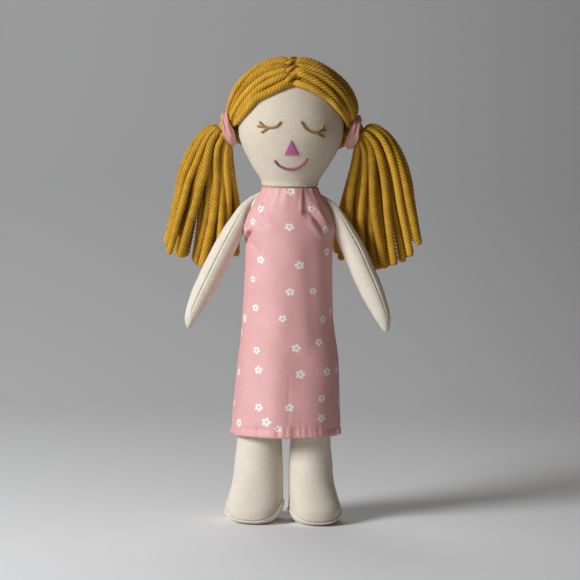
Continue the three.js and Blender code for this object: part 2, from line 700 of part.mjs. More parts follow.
// Dress: a straight shift of two panels, gathered at the neck, with armholes cut to the neck edge
const BINDING_HEIGHT = NECK_HEIGHT + NECK_LENGTH - BINDING_RADIUS - 2 * GAP;
const DRESS_TOP = BINDING_HEIGHT - BINDING_RADIUS - GAP;
const bindingWidth = NECK_WIDTH / 2 + GAP + BINDING_RADIUS;
const bindingDepth = NECK_DEPTH / 2 + GAP + BINDING_RADIUS;
const SHOULDER_REST = SHOULDER_HEIGHT - SHOULDER_DROP;
const dressHalf = (torsoHalf, hem, neck, ease) => profile([
  [HEM_HEIGHT, hem / 2],
  [BELLY_HEIGHT, torsoHalf(NECK_HEIGHT - BELLY_HEIGHT) + ease],
  [ARMHOLE_HEIGHT, torsoHalf(chestStation) + CHEST_EASE * ease],
  [SHOULDER_REST, torsoHalf(NECK_HEIGHT - SHOULDER_REST) + SHOULDER_EASE],
  [DRESS_TOP, neck + COTTON / 2],
]);
const dressWidth = dressHalf(torsoWidth, HEM_WIDTH, bindingWidth, DRESS_EASE);
const dressDepth = dressHalf(torsoDepth, HEM_DEPTH, bindingDepth, DRESS_EASE_FRONT);
const [armholeBend, armholeBendShare] = ARMHOLE_CURVE;
const armholeAngle = profile([
  [ARMHOLE_HEIGHT, 0],
  [lerp(ARMHOLE_HEIGHT, SHOULDER_HEIGHT, armholeBend), armholeBendShare * degToRad(ARMHOLE_ANGLE)],
  [SHOULDER_REST, degToRad(ARMHOLE_ANGLE)],
  [DRESS_TOP, degToRad(ARMHOLE_ANGLE)],
]);

// How far the folds stand out: many small gathers at the neck, a few slack ones towards the hem
function dressFold(angle, z) {
  const drawn = smoothstep(z, ARMHOLE_HEIGHT, DRESS_TOP) ** 2;
  const gather = NECK_GATHER * (1 + Math.cos(NECK_GATHERS * angle)) / 2;
  const loose = 1 - smoothstep(z, HEM_HEIGHT, BELLY_HEIGHT);
  const slack = SKIRT_FOLD * Math.sin(angle) * Math.cos(SKIRT_FOLDS * angle + SKIRT_FOLD_START);
  return drawn * gather + loose * slack;
}

function dressGrid(facing, inset) {
  return DRESS_ROWS.map((row) => {
    const z = lerp(HEM_HEIGHT, DRESS_TOP, row);
    const edge = armholeAngle(z);
    return steps(DRESS_COLUMNS).map((across) => {
      const angle = lerp(edge, Math.PI - edge, across);
      const fold = dressFold(angle, z) - inset;
      return vec(
        (dressWidth(z) + fold) * Math.cos(angle),
        facing * ((dressDepth(z) + fold) * Math.sin(angle) + GAP / 2),
        z,
      );
    });
  });
}
for (const [name, facing] of Object.entries({ front: -1, back: 1 })) {
  addPiece(`dress_${name}`, slab(dressGrid(facing, 0), dressGrid(facing, COTTON)), PINK_COTTON);
}

function neckBinding() {
  const loops = steps(BINDING_TURNS).slice(0, BINDING_TURNS).map((turn) => {
    const outward = vec(Math.cos(TAU * turn), Math.sin(TAU * turn), 0);
    const centre = vec(bindingWidth * outward.x, bindingDepth * outward.y, BINDING_HEIGHT);
    return steps(BINDING_FACETS).slice(0, BINDING_FACETS).map((t) => centre.clone()
      .addScaledVector(outward, BINDING_RADIUS * Math.cos(TAU * t))
      .add(vec(0, 0, BINDING_RADIUS * Math.sin(TAU * t))));
  });
  return loft(loops, { ring: true });
}
addPiece('dress_neck_binding', neckBinding(), PINK_COTTON);

// Embroidery: threads laid on the canvas of the face
function onFace(x, height, lift) {
  const [width, depth] = headRadii(height - NECK_HEIGHT, lift);
  return vec(x, -depth * Math.sqrt(1 - (x / width) ** 2), height - NECK_HEIGHT);
}
const THREAD_LIFT = THREAD_RADIUS + THREAD_GAP;
function thread(places, count) {
  const path = new THREE.CatmullRomCurve3(places.map(([x, height]) => onFace(x, height, THREAD_LIFT)));
  return tube(path, THREAD_RADIUS, count, THREAD_FACETS);
}
const [bendAlong, bendRise] = LID_BEND;
for (const [name, side] of Object.entries(SIDES)) {
  const corner = [side * EYE_OUTER, EYE_HEIGHT];
  const lid = thread([
    [side * EYE_INNER, EYE_HEIGHT + EYE_RISE],
    [side * lerp(EYE_INNER, EYE_OUTER, bendAlong), EYE_HEIGHT + bendRise * EYE_RISE],
    corner,
  ], LID_STEPS);
  const lashes = LASH_ANGLES.map(degToRad).map((lift) => thread([
    [side * (EYE_OUTER - LASH_OVERLAP), EYE_HEIGHT],
    [side * (EYE_OUTER + LASH * Math.cos(lift)), EYE_HEIGHT + LASH * Math.sin(lift)],
  ], 1));
  addPiece(`${name}_eye`, union([lid, ...lashes]), BROWN_THREAD, head);
}

// Nose: a satin-stitched triangle that follows the curve of the face
function nose() {
  const grid = (lift) => steps(NOSE_ROWS).map((rise) => {
    const half = lerp(NOSE_WIDTH, NOSE_TIP, rise) / 2;
    return steps(NOSE_COLUMNS).map((t) => onFace(lerp(-half, half, t), NOSE_HEIGHT + rise * NOSE_RISE, lift));
  });
  return slab(grid(THREAD_GAP + NOSE_PAD), grid(THREAD_GAP));
}
addPiece('nose', nose(), PLUM_THREAD, head);

const mouthPlaces = MOUTH_SHAPE.map(([along, rise]) => [along * MOUTH_WIDTH, MOUTH_HEIGHT + rise * MOUTH_RISE]);
addPiece('mouth', thread(mouthPlaces, MOUTH_STEPS), MAUVE_THREAD, head);

// The origin lies on the floor under the middle of the doll's box
const box = new THREE.Box3().setFromObject(doll, true);
doll.position.y = -(box.min.y + box.max.y) / 2;

export default doll;
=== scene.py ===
import math

import bpy
import numpy as np
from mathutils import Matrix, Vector, noise


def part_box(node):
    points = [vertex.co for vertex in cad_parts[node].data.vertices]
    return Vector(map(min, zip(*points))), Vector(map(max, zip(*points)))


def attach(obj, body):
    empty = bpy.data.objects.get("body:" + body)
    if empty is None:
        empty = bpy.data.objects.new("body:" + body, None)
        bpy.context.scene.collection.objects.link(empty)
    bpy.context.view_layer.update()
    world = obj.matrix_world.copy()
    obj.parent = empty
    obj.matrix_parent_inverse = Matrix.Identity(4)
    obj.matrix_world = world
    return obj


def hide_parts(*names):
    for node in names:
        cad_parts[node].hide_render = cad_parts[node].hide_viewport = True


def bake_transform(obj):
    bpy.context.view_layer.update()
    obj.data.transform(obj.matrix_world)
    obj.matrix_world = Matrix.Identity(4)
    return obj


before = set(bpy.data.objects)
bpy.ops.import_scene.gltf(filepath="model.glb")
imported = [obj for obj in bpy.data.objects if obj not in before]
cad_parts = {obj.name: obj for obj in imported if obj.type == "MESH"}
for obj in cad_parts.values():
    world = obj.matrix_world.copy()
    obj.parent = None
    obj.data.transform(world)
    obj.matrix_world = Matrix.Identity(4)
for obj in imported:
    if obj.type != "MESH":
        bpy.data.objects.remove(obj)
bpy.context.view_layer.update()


# Studio: a pale grey paper sweep that turns up behind the doll and lets the camera look through its
# back, one large soft lamp at the front left, a weak one in front, one high behind, and a long lens
# just above the head, held with a slight tilt.
def lay_grid(name, columns, rows, place, cloth):
    """A grid moved into shape: place(u, v) gives each point, cloth(u, v) its spot on the flat cloth."""
    bpy.ops.object.select_all(action="DESELECT")
    bpy.ops.mesh.primitive_grid_add(x_subdivisions=columns, y_subdivisions=rows, size=1, calc_uvs=True)
    piece = bpy.context.object
    piece.name = name
    for vertex in piece.data.vertices:
        vertex.co = place(vertex.co.x + 0.5, vertex.co.y + 0.5)
    for corner in piece.data.uv_layers.active.data:
        corner.uv = cloth(*corner.uv)
    close_seams()
    return piece


def cut_cloth(width, height):
    """The spots of a grid on a plain rectangle of cloth."""
    return lambda u, v: (width * u, height * v)


WELD_GAP = 2e-5


def close_seams():
    """Weld the edges of the active piece that meet, turn its faces one way and shade them smooth."""
    bpy.ops.object.mode_set(mode="EDIT")
    bpy.ops.mesh.select_all(action="SELECT")
    bpy.ops.mesh.remove_doubles(threshold=WELD_GAP)
    bpy.ops.mesh.normals_make_consistent(inside=False)
    bpy.ops.object.mode_set(mode="OBJECT")
    bpy.ops.object.shade_smooth()


def srgb(red, green, blue):
    """A colour as it is read off a screen, from 0 to 255, as a shader's linear colour."""
    shares = [level / 255 for level in (red, green, blue)]
    return (*[s / 12.92 if s <= 0.04045 else ((s + 0.055) / 1.055) ** 2.4 for s in shares], 1)


class Shade:
    """A value in a material. Operators add Math nodes, and node() adds a node of any other kind."""

    def __init__(self, tree, socket=None):
        self.tree = tree
        self.socket = socket

    def node(self, kind, settings=(), inputs=(), output=0):
        made = self.tree.nodes.new("ShaderNode" + kind)
        for key, value in dict(settings).items():
            setattr(made, key, value)
        for key, value in dict(inputs).items():
            if isinstance(value, Shade):
                self.tree.links.new(value.socket, made.inputs[key])
            else:
                made.inputs[key].default_value = value
        return Shade(self.tree, made.outputs[output])

    def math(self, operation, *others, clamp=False):
        inputs = dict(enumerate((self, *others)))
        return self.node("Math", {"operation": operation, "use_clamp": clamp}, inputs)

    def __add__(self, other):
        return self.math("ADD", other)

    def __mul__(self, other):
        return self.math("MULTIPLY", other)

    def __sub__(self, other):
        return self.math("SUBTRACT", other)

    def __rsub__(self, other):
        return self * -1 + other

    def __truediv__(self, other):
        return self.math("DIVIDE", other)

    def clamped(self, factor=1):
        """This value times a factor, held between 0 and 1."""
        return self.math("MULTIPLY", factor, clamp=True)

    def mix(self, low, high):
        """The colour from low, where this value is 0, to high, where it is 1."""
        return self.node("Mix", {"data_type": "RGBA"}, {0: self, 6: low, 7: high}, 2)

    def output(self, name):
        return Shade(self.tree, self.socket.node.outputs[name])

    def axis(self, letter):
        return self.node("SeparateXYZ", (), {0: self}, letter)

    def attribute(self, name):
        """A value that is stored with the points of a mesh."""
        return self.node("Attribute", {"attribute_name": name}, (), "Fac")

    def grain(self, across, along, detail=2):
        """Noise over a pair of values, from 0 to 1."""
        place = self.node("CombineXYZ", (), {0: across, 1: along})
        inputs = {"Vector": place, "Scale": 1, "Detail": detail}
        return self.node("TexNoise", {"noise_dimensions": "2D"}, inputs)

    def fibres(self, scale):
        """Fine noise in space, from 0 to 1."""
        place = self.node("TexCoord", output="Object")
        return self.node("TexNoise", (), {"Vector": place, "Scale": scale, "Detail": 2})


SWEEP_WIDTH = 8
SWEEP_LENGTH = 7
SWEEP_FRONT = -4
SWEEP_TURN = 0.6
SWEEP_RADIUS = 0.8
NEAR_GREY = srgb(243, 242, 241)
# Greys for the paper's painted shade: far back, on the side away from the key lamp, and far out on the
# key lamp's side.
FAR_SHADED_GREY = srgb(179, 178, 177)
AWAY_FROM_KEY_SHADED_GREY = srgb(130, 129, 128)
KEY_SIDE_SHADED_GREY = srgb(122, 121, 120)


def sweep_point(u, v):
    along = SWEEP_LENGTH * v + SWEEP_FRONT
    turn = min(max((along - SWEEP_TURN) / SWEEP_RADIUS, 0), math.pi / 2)
    wall = max(along - SWEEP_TURN - SWEEP_RADIUS * math.pi / 2, 0)
    back = min(along, SWEEP_TURN) + SWEEP_RADIUS * math.sin(turn)
    return (SWEEP_WIDTH * (u - 0.5), back, SWEEP_RADIUS * (1 - math.cos(turn)) + wall)


paper = lay_grid("paper_sweep", 2, 140, sweep_point, cut_cloth(1, 1))
paper_grey = bpy.data.materials.new("paper_grey")
paper_grey.use_nodes = True
paper_tree = paper_grey.node_tree
paper_shader = paper_tree.nodes["Principled BSDF"]
paper_place = Shade(paper_tree).node("TexCoord", output="Object")
# Painted shade on the paper: darker towards the back, on the side away from the key lamp, and again far
# out on the key lamp's side.
far_back_shade = (paper_place.axis("Y") * 0.8 + 0.1).clamped()
away_from_key_shade = (paper_place.axis("X") * 0.9 - 0.12).clamped()
key_side_shade = (paper_place.axis("X") * -1.2 - 0.5).clamped()
side_shaded_paper = away_from_key_shade.mix(far_back_shade.mix(NEAR_GREY, FAR_SHADED_GREY), AWAY_FROM_KEY_SHADED_GREY)
paper_colour = key_side_shade.mix(side_shaded_paper, KEY_SIDE_SHADED_GREY)
paper_tree.links.new(paper_colour.socket, paper_shader.inputs["Base Color"])
paper_shader.inputs["Roughness"].default_value = 0.95
# The faces of the sweep are turned away from the doll, so the side towards it counts as their back.
doll_side = paper_place.node("NewGeometry", output="Backfacing")
seen_from_behind = (1 - doll_side) * paper_place.node("LightPath", output="Is Camera Ray")
paper_tree.links.new((1 - seen_from_behind).socket, paper_shader.inputs["Alpha"])
paper.data.materials.append(paper_grey)

LAMP_AIM = Vector((0, 0, 0.18))


def aimed(place, target):
    """The turn of a lamp or camera at a place that looks at a target."""
    return (target - place).to_track_quat("-Z", "Y").to_euler()


def add_lamp(name, place, size, watts, colour):
    bpy.ops.object.light_add(type="AREA", location=place)
    lamp = bpy.context.object
    lamp.name = name
    lamp.rotation_euler = aimed(Vector(place), LAMP_AIM)
    lamp.data.shape = "DISK"
    lamp.data.size = size
    lamp.data.energy = watts
    lamp.data.color = colour


add_lamp("key_lamp", (-1.52, -1.12, 1.0), size=0.8, watts=41.5, colour=(0.955, 1, 1.05))
add_lamp("fill_lamp", (0.2, -2.4, 1.0), size=1.4, watts=1.5, colour=(1, 0.94, 0.86))
add_lamp("back_lamp", (-0.4, 1.0, 1.4), size=1.2, watts=5.4, colour=(1, 1, 1))

# The air gives a faint warm light, while the camera sees it as plain grey.
world = bpy.data.worlds.new("studio_air")
world.use_nodes = True
air_tree = world.node_tree
warm_air = air_tree.nodes["Background"]
warm_air.inputs["Color"].default_value = (1, 0.84, 0.68, 1)
warm_air.inputs["Strength"].default_value = 0.06
air = Shade(air_tree)
lit_air = Shade(air_tree, warm_air.outputs["Background"])
seen_air = air.node("Background", (), {"Color": srgb(112, 111, 110), "Strength": 1})
camera_ray = air.node("LightPath", output="Is Camera Ray")
both_airs = air.node("MixShader", (), {0: camera_ray, 1: lit_air, 2: seen_air})
air_tree.links.new(both_airs.socket, air_tree.nodes["World Output"].inputs["Surface"])
bpy.context.scene.world = world

CAMERA_AIM = Vector((0.002, 0, 0.1752))
CAMERA_PLACE = Vector((0.002, -2, 0.3552))
CAMERA_TILT = math.radians(1.3)
VIEW_WIDTH = 0.4395
bpy.ops.object.camera_add(location=CAMERA_PLACE)
camera = bpy.context.object
camera.rotation_euler = aimed(CAMERA_PLACE, CAMERA_AIM)
camera.rotation_euler.rotate_axis("Z", CAMERA_TILT)
camera.data.lens = camera.data.sensor_width * (CAMERA_AIM - CAMERA_PLACE).length / VIEW_WIDTH
bpy.context.scene.camera = camera
bpy.context.scene.view_settings.view_transform = "Standard"


# Head: a light-bulb shape sewn from natural cotton canvas, stuffed hard with fibre and drawn in at the
# neck, where it is stitched to the torso.
def mix_material(name, paint, sheen=0.2, gloss=0.25):
    """A material. paint(start) gives its colour, its roughness, and its bump's height and depth."""
    material = bpy.data.materials.new(name)
    material.use_nodes = True
    tree = material.node_tree
    shader = tree.nodes["Principled BSDF"]
    start = Shade(tree)
    colour, roughness, height, depth = paint(start)
    bump = start.node("Bump", (), {"Height": height, "Distance": depth, "Strength": 1})
    tree.links.new(colour.socket, shader.inputs["Base Color"])
    tree.links.new(roughness.socket, shader.inputs["Roughness"])
    tree.links.new(bump.socket, shader.inputs["Normal"])
    shader.inputs["Sheen Weight"].default_value = sheen
    shader.inputs["Sheen Roughness"].default_value = 0.6
    shader.inputs["Specular IOR Level"].default_value = gloss
    return material


def woven(start, pitch):
    """Place on the cloth, the height of its plain weave and the uneven thickness of its threads."""
    cloth = start.node("TexCoord", output="UV")
    across, along = cloth.axis("X"), cloth.axis("Y")
    beat = math.pi / pitch
    weave = (across * beat).math("SINE") * (along * beat).math("SINE")
    fine, long = 1500, 110
    slub = start.grain(across * fine, along * long) + start.grain(across * long, along * fine)
    return across, along, weave * 0.5 + 0.5, slub * 0.5


CANVAS_PITCH = 0.0007
CANVAS_BUMP = 0.00022


def paint_canvas(deep, pale):
    """Canvas with uneven threads, soft blotches and small flecks."""
    def paint(start):
        across, along, weave, slub = woven(start, CANVAS_PITCH)
        blotch = start.grain(across * 45, along * 45, 3)
        fleck = start.grain(across * 620, along * 480, 3) * 0.5 - 0.25
        tone = (slub * 0.75 + blotch * 0.25 + weave * 0.16 + fleck - 0.1).clamped()
        return tone.mix(deep, pale), 0.95 - weave * 0.1, weave * 0.6 + slub, CANVAS_BUMP

    return paint


def smooth_through(knots):
    """A curve through (place, value) knots that doesn't overshoot between them."""
    places, values = (np.array(column, float) for column in zip(*knots))
    steps = np.diff(places)
    slopes = np.diff(values) / steps
    tangents = np.zeros(len(places))
    tangents[[0, -1]] = slopes[[0, -1]]
    for i in range(1, len(places) - 1):
        if slopes[i - 1] * slopes[i] > 0:
            tangents[i] = 2 * slopes[i - 1] * slopes[i] / (slopes[i - 1] + slopes[i])

    def value_at(place):
        i = int(min(max(np.searchsorted(places, place) - 1, 0), len(steps) - 1))
        t = min(max((place - places[i]) / steps[i], 0), 1)
        rest = 1 - t
        return float(
            values[i] * rest * rest * (1 + 2 * t)
            + values[i + 1] * t * t * (3 - 2 * t)
            + tangents[i] * steps[i] * t * rest * rest
            - tangents[i + 1] * steps[i] * t * t * rest
        )

    return value_at


def hump(distance, width):
    """1 at no distance, which fades on both sides over a width."""
    return math.exp(-((distance / width) ** 2))


def lumps(point, size, height):
    """How far the fibre inside pushes a point of the cloth out."""
    return height * noise.noise(Vector(point) / size)


def level_out(turn):
    """The level direction at a turn, which goes from the back round by the doll's right."""
    return Vector((-math.sin(turn), math.cos(turn), 0))


head_canvas = mix_material("head_canvas", paint_canvas(srgb(191, 174, 150), srgb(238, 226, 206)))

middle_y = sum(corner.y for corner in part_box("torso_skin")) / 2
neck_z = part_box("head_skin")[0].z
crown_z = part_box("head_skin")[1].z
HEAD_HALF = (0.0398, 0.035)
WIDEST_Z = neck_z + 0.048
DRAWN_IN = 0.2531
ROLL_ABOVE = 0.0026
jaw_half = smooth_through([
    (neck_z, 0.0200), (0.2545, 0.0206), (0.2574, 0.0213), (0.2600, 0.0226), (0.2638, 0.0252),
    (0.2732, 0.0309), (0.2840, 0.0366), (0.2925, 0.0394), (WIDEST_Z, HEAD_HALF[0]),
])


def head_half(z, lift=0):
    """Half the width and depth, at a height, of the head or of a skin lifted off it."""
    if z > WIDEST_Z:
        dome = math.sqrt(max(0, 1 - ((z - WIDEST_Z) / (crown_z + lift - WIDEST_Z)) ** 2))
        return [(half + lift) * dome for half in HEAD_HALF]
    return [jaw_half(z) * half / HEAD_HALF[0] + lift for half in HEAD_HALF]


def head_point(u, v):
    turn = math.tau * u
    if v < 0.5:
        z = neck_z + (WIDEST_Z - neck_z) * v / 0.5
    else:
        z = WIDEST_Z + (crown_z - WIDEST_Z) * math.sin((v - 0.5) * math.pi)
    width, depth = head_half(z)
    point = Vector((-width * math.sin(turn), middle_y + depth * math.cos(turn), z))
    gather = 0.000105 * math.cos(22 * turn + 3 * math.sin(turn)) * hump(z - neck_z - 0.003, 0.006)
    roll = 0.0004 * hump(z - DRAWN_IN - ROLL_ABOVE, 0.0011)
    pinch = -0.0022 * hump(z - DRAWN_IN, 0.0008)
    push = gather + roll + pinch + lumps(point, 0.016, 0.00035)
    return point + push * level_out(turn) * math.cos(max(v - 0.5, 0) * math.pi)


head = lay_grid("head", 112, 144, head_point, cut_cloth(0.24, 0.16))
head.data.materials.append(head_canvas)
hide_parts("head_skin", "head_stuffing")
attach(head, "torso")


# Torso: a canvas bag under the dress, with sloping shoulders, closed flat across the bottom by the
# rolled seam on which the legs fold.
body_canvas = mix_material("body_canvas", paint_canvas(srgb(210, 195, 172), srgb(249, 240, 224)))
hip_z = sum(corner.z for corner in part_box("hip_seam")) / 2
HIP_LIP = 0.0015
SHOULDER_EDGE_Z = 0.238
torso_half_width = smooth_through([
    (hip_z, 0.028), (0.166, 0.029), (0.212, 0.0272), (0.228, 0.0285), (0.237, 0.0300), (0.2425, 0.0282),
    (0.2470, 0.0232), (neck_z, 0.0198),
])
torso_half_depth = smooth_through([
    (hip_z, 0.0018), (0.155, 0.0192), (0.166, 0.02), (0.212, 0.0192), (neck_z, 0.0174),
])


def bent(wave, power):
    """A sine or cosine bent so that a ring comes out sharper, or squarer with a power below 1."""
    return math.copysign(abs(wave) ** power, wave)


def torso_point(u, v):
    turn = math.tau * u
    z = hip_z - HIP_LIP + (neck_z - hip_z + HIP_LIP) * v
    edge = 1 + 0.45 * hump(z - SHOULDER_EDGE_Z, 0.012)
    x = -torso_half_width(z) * bent(math.sin(turn), edge)
    y = middle_y + torso_half_depth(z) * bent(math.cos(turn), edge)
    point = Vector((x, y, z))
    return point + lumps(point, 0.018, 0.0004) * level_out(turn)


def cap_openings():
    """Close the open edges of the active piece with flat faces."""
    bpy.ops.object.mode_set(mode="EDIT")
    bpy.ops.mesh.select_all(action="DESELECT")
    bpy.ops.mesh.select_non_manifold()
    bpy.ops.mesh.edge_face_add()
    bpy.ops.object.mode_set(mode="OBJECT")


torso = lay_grid("torso", 64, 48, torso_point, cut_cloth(0.16, 0.12))
cap_openings()
torso.data.materials.append(body_canvas)
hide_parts("torso_skin", "torso_stuffing", "hip_seam")
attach(torso, "torso")


# Arms: canvas tubes sewn from two strips, with a seam down the front towards the outside, stuffed and
# stitched flat into the shoulders so that they swing.
SIDES = ((1, "left"), (-1, "right"))
FRONT = Vector((0, -1, 0))
SHOULDER = (0.02958, 0.244244)
ARM_LENGTH = 0.1098
ARM_LEAN = math.radians(24.5)
ARM_DEPTH_SHARE = 0.92
ARM_TAB = 0.012
SEAM_TURNS = {1: math.radians(62), -1: math.radians(78)}
SEAM_END = 0.098
HAND_PINCH = 0.1035
arm_half = smooth_through([
    (-ARM_TAB, 0.0021), (0, 0.0024), (0.005, 0.0034), (0.010, 0.0047), (0.018, 0.0064), (0.029, 0.0080),
    (0.040, 0.0087), (0.050, 0.00905), (0.060, 0.0090), (0.075, 0.0087), (0.085, 0.0077),
    (0.095, 0.0064), (0.101, 0.0050), (0.1055, 0.0035), (0.1085, 0.0018), (ARM_LENGTH, 0),
])
arm_bow = smooth_through([
    (0, -0.0012), (0.005, 0.0003), (0.010, 0.0009), (0.018, 0.0009), (0.029, 0.0012), (0.040, 0.0018),
    (0.060, 0.0020), (0.085, 0.0023), (0.095, 0.0022), (0.101, 0.0020), (0.1055, 0.0014),
    (0.1085, 0.0007), (ARM_LENGTH, 0.0003),
])


def unit(value):
    """A value held between 0 and 1."""
    return min(max(value, 0), 1)


def arm_point(side):
    axis = Vector((side * math.sin(ARM_LEAN), 0, -math.cos(ARM_LEAN)))
    across = Vector((side * math.cos(ARM_LEAN), 0, math.sin(ARM_LEAN)))
    start = Vector((side * SHOULDER[0], middle_y, SHOULDER[1]))
    tab_axis = Vector((side * 0.85, 0, -0.5))
    seam = SEAM_TURNS[side]

    def place(u, v):
        turn = math.tau * u
        down = (ARM_LENGTH + ARM_TAB) * math.sin(v * math.pi / 2) ** 1.15 - ARM_TAB
        half = arm_half(down)
        off = abs((turn - seam + math.pi / 2) % math.pi - math.pi / 2)
        pucker = 0.00012 * math.sin(down * 1700) * hump(off - 0.2, 0.2)
        groove = -0.11 * hump(off, 0.05) * unit((SEAM_END - down) / 0.004)
        lens = 1.04 + 0.1 * math.cos(2 * (turn - seam))
        pinch = -0.0007 * hump(down - HAND_PINCH, 0.0022) * hump(turn - seam + 0.1, 0.28)
        radius = half * (lens + groove) + pinch + pucker * min(1, half / 0.005)
        out = across * math.cos(turn) + FRONT * math.sin(turn) * ARM_DEPTH_SHARE
        tab = tab_axis * min(down, 0)
        bow = arm_bow(max(down, 0)) + side * 0.0007 * unit(down / 0.04)
        point = start + axis * max(down, 0) + across * bow + tab + out * radius
        return point + out * lumps(point, 0.012, 0.0003) * min(1, half / 0.006)

    return place


for side, name in SIDES:
    arm = lay_grid(f"{name}_arm", 240, 110, arm_point(side), cut_cloth(0.06, 0.12))
    arm.data.materials.append(body_canvas)
    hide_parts(f"{name}_arm_skin", f"{name}_arm_stuffing")
    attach(arm, f"{name}_arm")


# Legs: stuffed canvas tubes, sewn flat into the hip seam, that widen into feet turned slightly
# outwards. Each foot is closed by a separate oval sole, whose edge shows below the seam.
SOLE_LEVEL = 0.0034
FOOT_WIDEST = 0.010
FOOT_TOP = 0.050
THIGH_LEVEL = 0.107
TOE_OUT = math.radians(8)
LEG_WIDTHS = {1: 0.9, -1: 1.0}
SOLE_LOWEST = 0.0024
SOLE_RISE = 0.0054
SOLE_CURLS = {1: 0.0008, -1: 0.0058}
leg_top = hip_z - 0.0026
leg_half = smooth_through([
    (SOLE_LEVEL, 0.0216), (FOOT_WIDEST, 0.0221), (0.018, 0.0208), (0.030, 0.0192), (FOOT_TOP, 0.0178),
    (0.067, 0.0167), (THIGH_LEVEL, 0.0160), (leg_top, 0.0118),
])
toe_reach = smooth_through([
    (SOLE_LEVEL, 0.0310), (FOOT_WIDEST, 0.0315), (0.020, 0.0250), (0.034, 0.0186), (FOOT_TOP, 0.0165),
    (THIGH_LEVEL, 0.0152), (0.119, 0.0080), (leg_top, 0.0014),
])
heel_reach = smooth_through([
    (SOLE_LEVEL, 0.0172), (FOOT_WIDEST, 0.0175), (0.022, 0.0166), (FOOT_TOP, 0.0162),
    (THIGH_LEVEL, 0.0155), (leg_top, 0.0018),
])
leg_centres = {
    1: smooth_through([
        (SOLE_LEVEL, 0.0235), (FOOT_WIDEST, 0.0234), (0.034, 0.0212), (FOOT_TOP, 0.0205),
        (leg_top, 0.0190),
    ]),
    -1: smooth_through([
        (SOLE_LEVEL, 0.0205), (FOOT_WIDEST, 0.0204), (0.034, 0.0190), (FOOT_TOP, 0.0187),
        (leg_top, 0.0190),
    ]),
}


def swung(x, y, angle):
    """A level place turned round the upright axis."""
    return x * math.cos(angle) - y * math.sin(angle), x * math.sin(angle) + y * math.cos(angle)


def leg_ring(side, z, turn, grow=0):
    """A point on the level ring round a leg, and the level direction out of it."""
    foot = unit((FOOT_TOP - z) / (FOOT_TOP - FOOT_WIDEST))
    foot = foot * foot * (3 - 2 * foot)
    power = 2 / (2 + 0.25 * foot)
    half = leg_half(z) * LEG_WIDTHS[side] + grow
    front, back = toe_reach(z) + grow, heel_reach(z) + grow
    x = half * bent(-math.sin(turn), power)
    y = (front + back) / 2 * bent(math.cos(turn), power) + (back - front) / 2
    swing = side * foot * TOE_OUT
    x, y = swung(x, y, swing)
    out = level_out(turn)
    point = Vector((side * leg_centres[side](z) + x, middle_y + y, z))
    return point, Vector((*swung(out.x, out.y, swing), 0))


def sole_edge(side, turn):
    """The height of the seam round the sole, which curls up at both sides of the foot."""
    inward = max(0, side * math.sin(turn))
    return SOLE_LOWEST + SOLE_RISE * abs(math.sin(turn)) ** 2.5 + SOLE_CURLS[side] * inward ** 4


def leg_point(side):
    def place(u, v):
        turn = math.tau * u
        low = sole_edge(side, turn)
        z = low + (leg_top - low) * (0.3 * v + 0.7 * v * v)
        point, out = leg_ring(side, z, turn)
        tuck = -0.0015 * hump(z - low, 0.0010)
        pucker = 0.00018 * math.sin(46 * turn) * hump(z - low - 0.002, 0.0025)
        return point + out * (tuck + pucker + lumps(point, 0.017, 0.0004))

    return place


SOLE_FLAT = 0.4
SOLE_CONTACT = 0.66
SOLE_OVERLAP = 0.0005
SOLE_FORWARD = 0.0068
SOLE_ROUND = math.radians(105)


def sole_point(side):
    """A sole that lies flat in the middle, with an edge half rounded and half slanted."""
    centre = Vector((side * leg_centres[side](SOLE_LEVEL), middle_y - SOLE_FORWARD, 0))

    def place(u, v):
        turn = math.tau * u
        high = sole_edge(side, turn)
        rim, out = leg_ring(side, high, turn, SOLE_OVERLAP)
        climb = max(v - SOLE_FLAT, 0) / (1 - SOLE_FLAT) * SOLE_ROUND
        slope = climb / math.radians(90)
        spread = 0.5 * math.sin(climb) + 0.5 * min(slope, 1)
        share = min(v / SOLE_FLAT, 1) * SOLE_CONTACT + (1 - SOLE_CONTACT) * spread
        level = Vector((rim.x, rim.y, 0)) - centre
        stitch = 0.00016 * math.sin(58 * turn) * math.sin(min(climb, math.pi / 2)) ** 6
        rise = high * (0.5 - 0.5 * math.cos(climb) + 0.5 * slope)
        return centre + level * share + out * stitch + Vector((0, 0, rise))

    return place


def sole_cloth(u, v):
    turn = math.tau * u
    return (0.022 * v * math.sin(turn), 0.028 * v * math.cos(turn))


def paint_leg(start):
    """A canvas like the body's, with painted shade in the groove that the sole's seam draws in."""
    plain = paint_canvas(srgb(204, 190, 168), srgb(244, 235, 219))
    colour, roughness, height, depth = plain(start)
    along = start.node("TexCoord", output="UV").axis("Y")
    # Painted shade along the groove just above the sole's seam.
    seam = (0.0062 - along).clamped(350) * 0.9
    return seam.mix(colour, srgb(126, 102, 76)), roughness, height, depth


leg_canvas = mix_material("leg_canvas", paint_leg)

for side, name in SIDES:
    leg = lay_grid(f"{name}_leg", 96, 80, leg_point(side), cut_cloth(0.11, 0.14))
    leg.data.materials.append(leg_canvas)
    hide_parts(f"{name}_leg_skin", f"{name}_leg_stuffing")
    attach(leg, f"{name}_leg")
    sole = lay_grid(f"{name}_foot_sole", 96, 24, sole_point(side), sole_cloth)
    cap_openings()
    sole.data.materials.append(body_canvas)
    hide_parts(f"{name}_sole")
    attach(sole, f"{name}_leg")


# Hair: thick plied wool laid in strands from a parting sewn down the middle of the scalp, two layers
# deep, and drawn together at each side through a tie. The yarn keeps its hard twist.
YARN_THICKNESS = 0.0058
YARN_PLIES = 5
YARN_LEAD = -0.0145
YARN_STEP = 0.00085
PLY_DEPTH = 0.28
WORN_AWAY = 0.82
SPAN_POINTS = 24
dice = np.random.default_rng(7)


